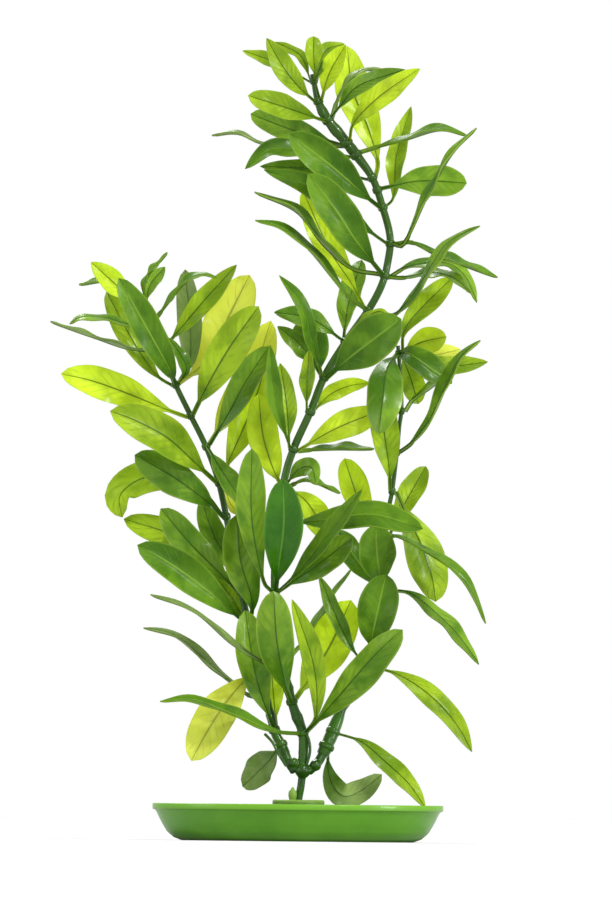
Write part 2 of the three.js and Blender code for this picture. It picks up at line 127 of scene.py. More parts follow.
def leaf(width: float, roll: float, shade: Shade, *through: Point, form: Form | None = None,
         fold: float = USUAL_FOLD) -> Leaf:
    """Make one row of a leaf chart. A slim leaf is pointed unless its row says otherwise.

    Args:
        width: Width of the blade.
        roll: How far the face turns up from the viewer, in degrees.
        shade: The painted light and shade of the blade.
        through: The points after the collar, the last one the tip.
        form: The outline of the blade.
        fold: How far each half folds towards the viewer, or away below 0, in degrees.

    Returns:
        The leaf.
    """
    usual = Form.POINTED if width < SLIM_WIDTH else Form.BLUNT
    return Leaf(width, roll, shade, through, form or usual, fold)


def sprig(height: float, *leaves: Leaf) -> Sprig:
    """Make one sprig of a stem's chart from its height and its leaves."""
    return Sprig(height, leaves)


# The looks that paint each leaf's light and shade.
BRIGHT, LIGHT, MID, DARK, DEEP, PALE, DIM = Shade
SPOON = Form.SPOON

CENTRE_ROUTE = (
    (2, 0, 29), (2, 0, 40), (-1.5, -1, 50), (-4.5, -2, 62), (-7, -3, 80), (-8.5, -3, 96),
    (-7.5, -4, 115), (-5, -4, 134), (-1.5, -4, 146), (4.8, -4, 160), (10, -4, 173), (18, -4, 186),
    (26.5, -4, 198), (31.3, -4, 207), (33.5, -3, 215), (34.5, -3, 225), (31.5, -2, 237),
    (28, -2, 247), (22.5, -1, 255), (17, -1, 262), (12, 0, 268), (8, 0, 275), (5.5, 0, 286),
)
LEFT_ROUTE = (
    (-1, 0, 26), (-3.5, 1, 30), (-6, 2, 36), (-8.5, 3, 41), (-12, 4, 55), (-15, 5, 67),
    (-18, 6, 80), (-20.5, 7, 91), (-23.5, 8, 104), (-26, 9, 118), (-28, 9, 128), (-30, 10, 136),
    (-34, 10, 147), (-39.7, 10, 158.5), (-45.3, 10, 170),
    (-50, 10, 181), (-54.5, 10, 191), (-58.5, 10, 202),
)
RIGHT_ROUTE = (
    (4, 0, 26), (8, 1, 30), (12, 2, 38), (14, 3, 43), (17, 4, 50), (19.5, 4, 54), (24, 5, 62),
    (28, 6, 73), (31, 7, 88), (32.3, 7, 100), (32.5, 8, 114), (34, 8, 124), (35.5, 8, 132),
    (37.2, 8, 146), (38, 8, 155), (38.8, 8, 161), (38.5, 8, 172), (37.5, 8, 185),
)
POST_ROUTE = ((0.3, 0, 9.3), (0.4, 0, 15.6), (1.2, 0, 20), (1.8, 0, 25), (2, 0, 28))

CENTRE_SPRIGS = (
    sprig(40.5,
          leaf(13, 20, MID, (8, -6, 45.5), (18, -13, 56.5), (29, -18, 69), (39, -21, 78.6),
               fold=-18),
          leaf(9, 25, LIGHT, (7, -5, 48), (6, -7, 66), (-2, -8, 90)),
          leaf(7, 60, DARK, (-9, -9, 41.3), (-24, -14, 47.5), (-38, -18, 52.5), (-51, -22, 52))),
    sprig(52,
          leaf(15.5, 10, MID, (-5, -9, 60), (-8, -16, 75), (-9, -20, 93), fold=-27),
          leaf(17, 15, BRIGHT, (4, 6, 60), (12, 11, 73), (20, 14, 90))),
    sprig(67,
          leaf(8, 80, DIM, (-12, -9, 66.5), (-24, -14, 74), (-38, -17, 86), (-54.6, -19, 91.7)),
          leaf(8, 76, DARK, (4, 2, 77), (10, 5, 88), (20, 8, 101.5))),
    sprig(93,
          leaf(15.2, 8, DEEP, (-7, -12, 102), (-5.2, -20, 118), (-5.4, -23, 134.5)),
          leaf(7, 20, DARK, (-1, -9, 99), (6, -14, 108), (24, -28, 130.5)),
          leaf(12, 15, MID, (1, -6, 98.5), (10, -9, 105), (20.5, -11, 113)),
          leaf(11.5, 15, MID, (-13, -7, 98), (-17, -12, 120), (-17, -14, 146))),
    sprig(118,
          leaf(11, 18, DARK, (3.5, -10, 119), (10, -14, 119.5), (28, -20, 121.5),
               (46.5, -24, 116))),
    sprig(132,
          leaf(7, 10, MID, (0, -12, 138), (5, -20, 139), (7, -26, 132.5)),
          leaf(6, 74, DARK, (4, -9, 134.5), (16, -13, 129.5)),
          leaf(10.5, 15, BRIGHT, (4, 2, 126), (12, 8, 113)),
          leaf(12, 15, BRIGHT, (-9.5, 6, 140), (-13, 9, 152), (-14.5, 10, 167))),
    sprig(146,
          leaf(6, 20, DARK, (-8, -12, 163), (-10.2, -16, 184.6)),
          leaf(8.5, 15, LIGHT, (-4, -6, 163), (-6.5, -6, 178)),
          leaf(11, 15, BRIGHT, (14, -8, 153.5), (31, -6, 160.5)),
          leaf(8, 75, DARK, (14, -2, 146.6), (28.6, -3, 146.2))),
    sprig(160,
          leaf(6, 20, LIGHT, (3.6, -7, 171), (4.5, -6, 183)),
          leaf(7, 15, BRIGHT, (12, 2, 166.5), (19, 4, 169.8), (27, 5, 171))),
    sprig(173,
          leaf(6, 30, DARK, (5, -15, 187), (1.5, -18, 200), (-6.8, -19, 210.3)),
          leaf(13.5, 10, DARK, (6.5, 2, 182), (1.5, 7, 194.5)),
          leaf(7.5, 20, MID, (2, 1, 184), (-7.5, 1, 192)),
          leaf(17.5, 12, DARK, (20, -12, 180.5), (30, -19, 188), (38.5, -22, 194))),
    sprig(186,
          leaf(9.5, 20, MID, (19, 6, 201), (24, 10, 217)),
          leaf(8, 20, MID, (5, -10, 194.5), (-8.7, -13, 196.8)),
          leaf(4, 40, LIGHT, (24, -9, 193), (30, -12, 197), (35, -13, 194.5))),
    sprig(198,
          leaf(9, 74, DARK, (18, -9, 204), (5, -12, 220), (-5, -14, 227.8), (-15.7, -15, 230.9)),
          leaf(11.5, 15, BRIGHT, (20, 0, 208), (12, 4, 221), (2, 9, 243)),
          leaf(9, 70, MID, (36, -8, 196), (43, -14, 203.5), (51, -20, 216), (56, -23, 222.5),
               (67.7, -26, 228.4))),
    sprig(211,
          leaf(14, 12, DARK, (22, -14, 223), (14, -18, 235), (4, -20, 248)),
          leaf(8, 74, MID, (20, -7, 213.5), (10, -9, 222.5), (0, -10, 234.8), (-16, -10, 241.6)),
          leaf(8, 56, MID, (42, 2, 214.5), (55, 4, 216), (62.5, 5, 211), (66.9, 6, 201)),
          leaf(8, 64, MID, (40, -4, 210), (50, -6, 211.8), (58, -8, 209.8), (64.5, -10, 204))),
    sprig(223,
          leaf(9, 75, MID, (40, -8, 223), (48, -14, 241), (57, -18, 256), (66.5, -20, 265)),
          leaf(9, 72, DARK, (43, -4, 223), (53, -7, 218.2), (62, -9, 214.9), (74.5, -11, 209.8)),
          leaf(8.5, 15, DARK, (27, -8, 227), (5, -9, 243.5), (-12.5, -8, 250))),
    sprig(236.5,
          leaf(13.5, 10, DARK, (25, -8, 240.5), (13, -14, 251), (-3, -19, 263)),
          leaf(7.5, 20, LIGHT, (36, 3, 241), (37, 8, 256), (42.5, 14, 274.5))),
    sprig(243,
          leaf(12.5, 15, MID, (46, -5, 246), (63, -8, 245))),
    sprig(247.5,
          leaf(13.5, 12, BRIGHT, (29.8, 2, 254), (26, 6, 267), (20.5, 9, 281), (18.5, 12, 297)),
          leaf(7.5, 20, MID, (10, 6, 250.5), (-14, 10, 252))),
    sprig(256,
          leaf(8, 77, DARK, (27, -1, 258), (40, -3, 262), (53, -5, 265.5), (63.2, -6, 262.8)),
          leaf(8, 35, DARK, (10, -4, 256.5), (-9, -6, 258), (-19.5, -9, 250.3))),
    sprig(260.5,
          leaf(9, 15, BRIGHT, (21.3, -6, 268), (31, -13, 277.5), (45.5, -22, 287)),
          leaf(10.5, 15, MID, (-2, 4, 265.5), (-17.5, 8, 271.5)),
          leaf(7, 80, DIM, (-10, 2, 260), (-22, 3, 264.3), (-32, 4, 263.3))),
    sprig(269,
          leaf(7, 20, MID, (16, -3, 274), (23, -8, 281.5), (40, -14, 287)),
          leaf(5, 78, DIM, (16, 2, 279), (23.5, 5, 287.5), (34, 7, 287.5)),
          leaf(9.5, 12, LIGHT, (-4, -10, 273), (-18.3, -16, 277.3))),
    sprig(276,
          leaf(9, 15, LIGHT, (0, -5, 281.5), (-6, -7, 289.5), (-11.5, -8, 299)),
          leaf(8.5, 20, BRIGHT, (12, -5, 286.5), (18, -9, 296.5))),
    sprig(283.5,
          leaf(5.5, 20, LIGHT, (-8, 6, 290.5), (-20.5, 10, 295.2)),
          leaf(4, 20, LIGHT, (1, 3, 293), (-8.5, 5, 298.2)),
          leaf(6.5, 15, LIGHT, (6, -3, 292), (6, -2, 300), form=SPOON),
          leaf(5.5, 20, LIGHT, (10, 4, 294.5), (17.5, 8, 297.7)),
          leaf(3, 30, MID, (8, -5, 287), (9.5, -8, 291))),
)

LEFT_SPRIGS = (
    sprig(36,
          leaf(12, 20, DIM, (-9.5, 9, 31.5), (-14, 16, 27), (-20.5, 22, 20.5))),
    sprig(41.5,
          leaf(13, 12, MID, (-15, -4, 60), (-19.5, -5, 86)),
          leaf(9, 15, BRIGHT, (-8.5, 6, 49), (-9.5, 8, 61), (-11, 8, 75))),
    sprig(57,
          leaf(8, 74, DIM, (-17, 9, 54), (-25.5, 9, 60), (-36, 8, 69), (-46, 8, 77),
               (-57.5, 8, 79.6)),
          leaf(15, 12, PALE, (-19, 0, 60), (-26, -5, 52.5), (-33, -9, 42), (-39.5, -12, 30))),
    sprig(81,
          leaf(13.5, 12, DARK, (-26, -2, 87), (-38, -7, 97), (-49, -11, 104.5),
               (-59.5, -14, 110.2)),
          leaf(11, 15, LIGHT, (-24, 10, 90), (-33, 15, 101)),
          leaf(13.5, 12, MID, (-17, 0, 90), (-21.3, -4, 105), (-22.5, -6, 121.8))),
    sprig(93,
          leaf(12, 12, MID, (-27, 4, 98), (-39, 2, 110), (-51, 0, 124)),
          leaf(11.5, 15, LIGHT, (-33, 14, 106), (-45, 18, 114), (-65, 22, 120.5)),
          leaf(10.5, 15, MID, (-25, 15, 104), (-31, 20, 114), (-36, 22, 128))),
    sprig(121,
          leaf(13.5, 12, MID, (-33, 5, 126), (-45, 2, 135), (-60.6, -2, 144)),
          leaf(14, 20, LIGHT, (-36, 14, 131), (-47, 17, 136), (-58, 18, 136),
               (-66.5, 16, 129.5), (-65.5, 12, 121), fold=22)),
    sprig(133.5,
          leaf(14.5, 12, LIGHT, (-37, 3, 140), (-48, -6, 150), (-60, -11, 156.5),
               (-69.6, -14, 160)),
          leaf(14.5, 12, BRIGHT, (-26, 12, 141), (-18, 14, 160), (-11, 16, 180)),
          leaf(4.5, 25, PALE, (-27, 13, 131), (-25, 14, 126), (-20.5, 14, 121))),
    sprig(147,
          leaf(11, 15, MID, (-25, 6, 161), (-19, 4, 172), (-10.5, 3, 184.6)),
          leaf(8.5, 25, MID, (-28, 2, 138), (-17, -4, 121.5)),
          leaf(14, 10, PALE, (-26, 24, 160), (-17, 30, 174), (-10, 32, 195))),
    sprig(158.5,
          leaf(12.5, 12, BRIGHT, (-50, 6, 161.5), (-62, 3, 166.5), (-76, 0, 171.5),
               (-88, -3, 174.2)),
          leaf(14.5, 12, LIGHT, (-33, 0, 171), (-25, -3, 184.5), (-14.5, -6, 199.2))),
    sprig(170,
          leaf(9.5, 12, LIGHT, (-53, 14, 174.5), (-61, 17, 186), (-71.5, 20, 205.5)),
          leaf(5, 30, MID, (-41.5, 5, 176), (-44, 5, 182), (-48.5, 5, 188)),
          leaf(16.5, 10, PALE, (-34, 20, 180), (-25, 25, 198), (-18, 28, 212)),
          leaf(9.5, 10, DIM, (-40, 20, 183), (-42, 26, 214)),
          leaf(12, 12, DARK, (-48, -3, 176.5), (-57, -10, 193), (-66.5, -13, 209.5))),
    sprig(183,
          leaf(8.5, 15, LIGHT, (-46, 7, 188.5), (-35, 5, 201.5), (-22.7, 3, 215)),
          leaf(8, 83, DIM, (-63, 2, 184), (-75, -2, 188), (-92, -6, 193.6))),
    sprig(192.5,
          leaf(7, 66, MID, (-62, 8, 192.5), (-72, 6, 195.5), (-80, 5, 195.7), (-85, 5, 193)),
          leaf(7, 76, DARK, (-43, 0, 207.5), (-36, -2, 211.2), (-30, -3, 210))),
    sprig(199.5,
          leaf(9, 15, BRIGHT, (-68, 6, 208), (-77, 3, 216)),
          leaf(6, 76, MID, (-70, 12, 209), (-81.7, 14, 208)),
          leaf(5, 74, DARK, (-57, 7, 209.5), (-48.6, 5, 219.7)),
          leaf(6, 15, MID, (-55, 13, 208), (-49.5, 15, 214.6))),
)

RIGHT_SPRIGS = (
    sprig(35.5,
          leaf(9.5, 10, DIM, (12, 12, 24), (17, 18, 17), (24, 23, 19), (31.5, 26, 25))),
    sprig(41,
          leaf(7.5, 15, LIGHT, (24, 3, 37), (33, 3, 29.5), (41.5, 4, 21.5), (47.8, 4, 12.3))),
    sprig(66,
          leaf(8.5, 15, LIGHT, (38, 4, 62), (50, 2, 54), (59, 0, 44), (65, -2, 33.3)),
          leaf(6.5, 20, MID, (18, 1, 76), (8, -3, 99))),
    sprig(70.5,
          leaf(15.5, 10, DARK, (28.5, -3, 80), (33, -5, 99.5))),
    sprig(94,
          leaf(8, 48, MID, (42, 10, 92.5), (52, 12, 85), (60, 13, 77), (67.7, 14, 66)),
          leaf(14.5, 10, DARK, (30, -0.6, 104), (29, -2.7, 118)),
          leaf(9.5, 15, DARK, (27, 10, 98), (21.5, 9, 106), (14.5, 7, 116))),
    sprig(114,
          leaf(8, 72, DARK, (38.5, -5, 113.3), (50, -8, 107), (58, -10, 101.5), (64, -11, 95),
               (70, -12, 81)),
          leaf(9.5, 15, LIGHT, (40, 10, 126), (48, 13, 140)),
          leaf(11.5, 15, BRIGHT, (25, 11, 122), (17.5, 14, 143))),
    sprig(131,
          leaf(15, 15, LIGHT, (40, 6, 123), (46, 4, 111), (50, 1, 99), (51.5, 0, 89.3)),
          leaf(11.5, 15, LIGHT, (34, 4, 141), (32.5, 3, 152), (31, 3, 166))),
    sprig(145.5,
          leaf(9, 66, MID, (43, 0, 149), (49.5, -5, 158), (54.5, -8, 169), (60, -12, 179.5),
               (68, -15, 186.3))),
    sprig(161,
          leaf(8, 75, MID, (43.5, 10, 165.3), (52, 11, 172), (60, 12, 180))),
    sprig(182.5,
          leaf(14, 12, MID, (33.5, -5, 176), (32, -12, 165), (30.5, -15, 151.5), fold=-12),
          leaf(9.5, 15, LIGHT, (40, 9, 191), (47, 11, 200), (57.7, 15, 210.4)),
          leaf(10, 15, BRIGHT, (46, 2, 186), (55.5, -1, 188)),
          leaf(10.5, 15, DARK, (43, -2.6, 181), (57.5, -4.3, 170.5)),
          leaf(9.5, 12, LIGHT, (42, 14, 174), (45.2, 17, 163.5)),
          leaf(8, 15, LIGHT, (44, 12, 179), (55, 18, 177.5), (71.2, 22, 179.3)),
          leaf(8.5, 15, PALE, (47, 16, 181), (61, 24, 184))),
)


def place(point: Point) -> Vector:
    """Turn a chart's point into a place in the scene, in metres: the plant leans a little."""
    x, depth, z = point
    across = x * math.cos(LEAN) - z * math.sin(LEAN)
    height = z * math.cos(LEAN) + x * math.sin(LEAN)
    return Vector((across, depth * DEPTH_SPREAD, height)) * MM


def linear(code: str) -> tuple[float, float, float, float]:
    """Turn a display colour such as #4f8a28 into the linear colour that shaders take."""
    parts = [int(code[i:i + 2], 16) / 255 for i in (1, 3, 5)]
    red, green, blue = (p / 12.92 if p <= 0.04045 else ((p + 0.055) / 1.055) ** 2.4 for p in parts)
    return (red, green, blue, 1.0)


class Route:
    """A smooth curve through points, measured along its length."""

    STEPS = 40

    def __init__(self, points: Sequence[Vector]) -> None:
        """Lay the curve.

        Args:
            points: The places that the curve passes through.
        """
        ends = [points[0] * 2 - points[1], *points, points[-1] * 2 - points[-2]]
        laid = []
        for i in range(len(points) - 1):
            before, start, end, after = ends[i:i + 4]
            for step in range(self.STEPS):
                t = step / self.STEPS
                laid.append(self._between(before, start, end, after, t))
        laid.append(points[-1])
        self.places = np.array([tuple(p) for p in laid])
        gaps = np.linalg.norm(np.diff(self.places, axis=0), axis=1)
        self.lengths = np.concatenate(([0.0], np.cumsum(gaps)))
        self.length = float(self.lengths[-1])

    @staticmethod
    def _between(before: Vector, start: Vector, end: Vector, after: Vector, t: float) -> Vector:
        """Find the place at share t of the stretch from start to end."""
        out = (end - before) * 0.5
        into = (after - start) * 0.5
        square, cube = t * t, t * t * t
        return (start * (2 * cube - 3 * square + 1) + out * (cube - 2 * square + t)
                + end * (3 * square - 2 * cube) + into * (cube - square))

    def at(self, share: float) -> Vector:
        """Find the place at a share of the length."""
        goal = share * self.length
        return Vector([float(np.interp(goal, self.lengths, self.places[:, i])) for i in range(3)])

    def along(self, share: float) -> Vector:
        """Find the direction of the curve at a share of the length."""
        reach = 0.01
        return (self.at(min(1.0, share + reach)) - self.at(max(0.0, share - reach))).normalized()

    def spread(self, steps: int, start: float = 0.0, end: float = 1.0) -> list[Vector]:
        """Find evenly spaced places from one share of the length to another."""
        return [self.at(start + (end - start) * i / steps) for i in range(steps + 1)]

    def share_at_height(self, height: float) -> float:
        """Find the share of the length at which a rising curve reaches a height."""
        return float(np.interp(height, self.places[:, 2], self.lengths)) / self.length


def deselect() -> None:
    """Leave nothing selected, so that the next operator acts on its own piece."""
    bpy.ops.object.select_all(action="DESELECT")


def named(piece: Piece, name: str) -> Piece:
    """Give a piece and its data a name, and return it."""
    piece.name = name
    piece.data.name = name
    return piece


def made(name: str) -> Piece:
    """Name the piece that an operator has just added, and return it."""
    return named(bpy.context.object, name)


def activate(piece: Piece) -> None:
    """Make one piece the only one that is selected and active."""
    deselect()
    piece.select_set(True)
    bpy.context.view_layer.objects.active = piece


def edit(piece: Piece) -> None:
    """Open a piece in edit mode, with vertices as what is picked."""
    activate(piece)
    bpy.ops.object.mode_set(mode="EDIT")
    bpy.ops.mesh.select_mode(type="VERT")


def close() -> None:
    """Leave edit mode."""
    bpy.ops.object.mode_set(mode="OBJECT")


def pick_all() -> None:
    """Select, in edit mode, the whole of the piece."""
    bpy.ops.mesh.select_all(action="SELECT")


def pick(piece: Piece, test: Callable[[Vector], bool]) -> None:
    """Select, in edit mode, the vertices whose place passes a test.

    Args:
        piece: The piece that is open in edit mode.
        test: Says of a place whether its vertex is picked.
    """
    shape = bmesh.from_edit_mesh(piece.data)
    for vertex in shape.verts:
        vertex.select = bool(test(vertex.co))
    shape.select_flush_mode()
    bmesh.update_edit_mesh(piece.data)


def resize(size: Sequence[float], centre: Sequence[float] = (0, 0, 0)) -> None:
    """Scale, in edit mode, what is picked about a place."""
    bpy.ops.transform.resize(value=size, center_override=centre)


def finish_modifier(piece: Piece, kind: str, **values: object) -> None:
    """Add a modifier to a piece and apply it.

    Args:
        piece: The piece to change.
        kind: The kind of modifier.
        values: The modifier's settings.
    """
    activate(piece)
    bpy.ops.object.modifier_add(type=kind)
    modifier = piece.modifiers[-1]
    for key, value in values.items():
        setattr(modifier, key, value)
    bpy.ops.object.modifier_apply(modifier=modifier.name)


def join(pieces: Sequence[Piece], name: str) -> Piece:
    """Join pieces into the first one and name it."""
    deselect()
    for piece in pieces:
        piece.select_set(True)
    bpy.context.view_layer.objects.active = pieces[0]
    bpy.ops.object.join()
    return named(pieces[0], name)


def copy_of(piece: Piece, name: str) -> Piece:
    """Copy a piece with a mesh of its own."""
    twin = bpy.data.objects.new(name, piece.data.copy())
    bpy.context.scene.collection.objects.link(twin)
    return twin


def paint(piece: Piece, material: Material) -> None:
    """Make a material the only one of a piece."""
    piece.data.materials.clear()
    piece.data.materials.append(material)


def smooth(piece: Piece, degrees: float) -> None:
    """Shade a piece smooth, apart from edges sharper than an angle."""
    activate(piece)
    bpy.ops.object.shade_smooth_by_angle(angle=math.radians(degrees))


def settle(piece: Piece, slot: str, *nodes: str) -> None:
    """Fix a finished piece to the frame.

    Args:
        piece: The finished piece.
        slot: Not used.
        nodes: The solids that it stands for.
    """
    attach(piece, BODY)
    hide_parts(*nodes)
    LOG.info("%s: %d faces", piece.name, len(piece.data.polygons))


def ball(name: str, middle: Sequence[float], radius: float, rings: int) -> Piece:
    """Model a ball. Its middle is in metres and its radius in millimetres."""
    deselect()
    bpy.ops.mesh.primitive_uv_sphere_add(segments=20, ring_count=rings, radius=radius * MM,
                                         location=middle)
    piece = made(name)
    bpy.ops.object.transform_apply(location=True)
    return piece


def bar(name: str, spots: Sequence[Vector], radius: float,
        swells: Sequence[float] | None = None) -> Piece:
    """Model a round bar as a bevelled path that is turned into a mesh.

    Args:
        name: The bar's name.
        spots: The places that its middle passes through.
        radius: Its radius, in millimetres.
        swells: What the radius is multiplied by at each of the places.

    Returns:
        The bar.
    """
    deselect()
    bpy.ops.curve.primitive_nurbs_path_add(radius=0.01)
    piece = made(name)
    curve = piece.data
    curve.splines.clear()
    spline = curve.splines.new("POLY")
    spline.points.add(len(spots) - 1)
    for point, spot, swell in zip(spline.points, spots, swells or [1.0] * len(spots)):
        point.co = (*spot, 1)
        point.radius = swell
    curve.dimensions = "3D"
    curve.bevel_depth = radius * MM
    curve.bevel_resolution = 3
    curve.use_fill_caps = True
    activate(piece)
    bpy.ops.object.convert(target="MESH")
    return piece


class NodeSheet:
    """Adds and links the nodes of a material or a group."""

    def __init__(self, tree: bpy.types.NodeTree) -> None:
        """Take the node tree to work on."""
        self.tree = tree

    def add(self, kind: str, **values: object) -> bpy.types.Node:
        """Add a node and set its options."""
        node = self.tree.nodes.new(kind)
        for key, value in values.items():
            setattr(node, key, value)
        return node

    def wire(self, source: object, target: Socket) -> None:
        """Link a socket to another, or set the other's value."""
        if isinstance(source, Socket):
            self.tree.links.new(source, target)
        else:
            target.default_value = source

    def feed(self, node: bpy.types.Node, values: dict[str, object]) -> None:
        """Link or set several of a node's inputs, by their names."""
        for name, value in values.items():
            self.wire(value, node.inputs[name])

    def math(self, operation: str, *inputs: Socket | float, clamp: bool = False) -> Socket:
        """Add a Math node and return its output."""
        node = self.add("ShaderNodeMath", operation=operation, use_clamp=clamp)
        for i, value in enumerate(inputs):
            self.wire(value, node.inputs[i])
        return node.outputs[0]

    def times(self, one: Socket, two: Socket | float) -> Socket:
        """Multiply two values."""
        return self.math("MULTIPLY", one, two)

    def rest(self, value: Socket) -> Socket:
        """Take a value from 1."""
        return self.math("SUBTRACT", 1.0, value)

    def fit(self, value: Socket, factor: float, offset: Socket | float) -> Socket:
        """Multiply a value and add to it."""
        return self.math("MULTIPLY_ADD", value, factor, offset)

    def ramp(self, value: Socket, low: float, high: float) -> Socket:
        """Turn a value into a soft step from 0 at low to 1 at high."""
        node = self.add("ShaderNodeMapRange", interpolation_type="SMOOTHSTEP")
        self.feed(node, {"Value": value, "From Min": low, "From Max": high})
        return node.outputs["Result"]

    def mix(self, share: Socket, one: object, two: object) -> Socket:
        """Mix two colours by a share."""
        node = self.add("ShaderNodeMix", data_type="RGBA")
        # The colours are inputs 6 and 7 and output 2. The others are for numbers and vectors.
        for i, value in ((0, share), (6, one), (7, two)):
            self.wire(value, node.inputs[i])
        return node.outputs[2]

    def noise(self, vector: Socket, scale: float, detail: float = 2.0,
              roughness: float = 0.5) -> Socket:
        """Add a Noise Texture and return its value."""
        node = self.add("ShaderNodeTexNoise")
        self.feed(node, {
            "Vector": vector, "Scale": scale, "Detail": detail, "Roughness": roughness,
        })
        return node.outputs["Fac"]

    def bump(self, height: Socket, strength: float, distance: float) -> Socket:
        """Add a Bump node and return its normal. The distance is in millimetres."""
        node = self.add("ShaderNodeBump")
        self.feed(node, {"Height": height, "Strength": strength, "Distance": distance * MM})
        return node.outputs["Normal"]


def blank_material(name: str) -> tuple[Material, NodeSheet, bpy.types.Node]:
    """Start a material, and return it with its node sheet and its Principled BSDF."""
    material = bpy.data.materials.new(name)
    material.use_nodes = True
    return material, NodeSheet(material.node_tree), material.node_tree.nodes["Principled BSDF"]


@dataclass(frozen=True)
class LeafPattern:
    """The marks that all the leaves share.

    A pair is where a soft step starts and ends, and a scale is that of a noise.
    """

    vein_count: float = 11.0
    vein_slant: float = 2.1
    vein_line: Pair = (0.41, 0.5)
    vein_reach: Pair = (0.62, 0.92)
    wobble: float = 0.5
    wobble_scale: float = 90.0
    breaks: Pair = (0.42, 0.6)
    break_scale: float = 140.0
    rib_width: float = 0.075
    rib_taper: float = 0.04
    rib_edge: Pair = (0.55, 1.35)
    margin: Pair = (0.86, 1.0)
    patch_scale: float = 42.0
    speck_scale: float = 170.0
    speck_roughness: float = 0.55
    speck_share: float = 0.4
    mottle: Pair = (0.4, 0.6)
    # The painted shade of one half of the blade and of the dips beside the veins.
    midline: Pair = (0.48, 0.53)
    shade_scale: float = 30.0
    shade_gain: float = 1.6
    shade_drop: float = 0.3
    dip_shade_waves: Pair = (0.1, 0.5)
    dip_shade_specks: Pair = (0.48, 0.62)
    dip_shade_share: float = 0.4

    def build(self) -> bpy.types.NodeTree:
        """Build the shared group.

        Returns:
            The group, with the inputs U (along), V (across) and Place, and the outputs Rib, Veins,
            Margin, Mottle and Half, which is painted shade: 1 on the half that lies in its
            neighbour's shade, and raised in the dips beside the veins.
        """
        group = bpy.data.node_groups.new("leaf_pattern", "ShaderNodeTree")
        for name, kind in (("U", "Float"), ("V", "Float"), ("Place", "Vector")):
            group.interface.new_socket(name, in_out="INPUT", socket_type=f"NodeSocket{kind}")
        for name in ("Rib", "Veins", "Margin", "Mottle", "Half"):
            group.interface.new_socket(name, in_out="OUTPUT", socket_type="NodeSocketFloat")
        sheet = NodeSheet(group)
        given = sheet.add("NodeGroupInput").outputs
        spot = given["Place"]
        across = sheet.times(sheet.math("ABSOLUTE", sheet.math("SUBTRACT", given["V"], 0.5)), 2.0)
        slant = sheet.times(across, self.vein_slant)
        count = sheet.math("SUBTRACT", sheet.times(given["U"], self.vein_count), slant)
        wobble = sheet.times(sheet.noise(spot, self.wobble_scale), self.wobble)
        phase = sheet.math("FRACT", sheet.math("ADD", count, wobble))
        wave = sheet.math("ABSOLUTE", sheet.math("SUBTRACT", phase, 0.5))
        line = sheet.ramp(wave, *self.vein_line)
        inner = sheet.rest(sheet.ramp(across, *self.vein_reach))
        broken = sheet.ramp(sheet.noise(spot, self.break_scale, detail=1.0), *self.breaks)
        width = sheet.fit(given["U"], -self.rib_taper, self.rib_width)
        patches = sheet.noise(spot, self.patch_scale, detail=3.0)
        patches = sheet.times(patches, 1 - self.speck_share)
        specks = sheet.noise(spot, self.speck_scale, detail=3.0, roughness=self.speck_roughness)
        uneven = sheet.fit(sheet.noise(spot, self.shade_scale), self.shade_gain, -self.shade_drop)
        # Painted shade: one half of the blade darker, and darker again in patches beside the veins.
        half = sheet.math("MULTIPLY", sheet.ramp(given["V"], *self.midline), uneven, clamp=True)
        vein_dip_shade = sheet.times(sheet.ramp(wave, *self.dip_shade_waves), sheet.ramp(specks, *self.dip_shade_specks))
        sheet.feed(sheet.add("NodeGroupOutput"), {
            "Rib": sheet.rest(sheet.ramp(sheet.math("DIVIDE", across, width), *self.rib_edge)),
            "Veins": sheet.times(sheet.times(line, inner), broken),
            "Margin": sheet.ramp(across, *self.margin),
            "Mottle": sheet.ramp(sheet.fit(specks, self.speck_share, patches), *self.mottle),
            "Half": sheet.math("MULTIPLY_ADD", vein_dip_shade, self.dip_shade_share, half, clamp=True),
        })
        return group


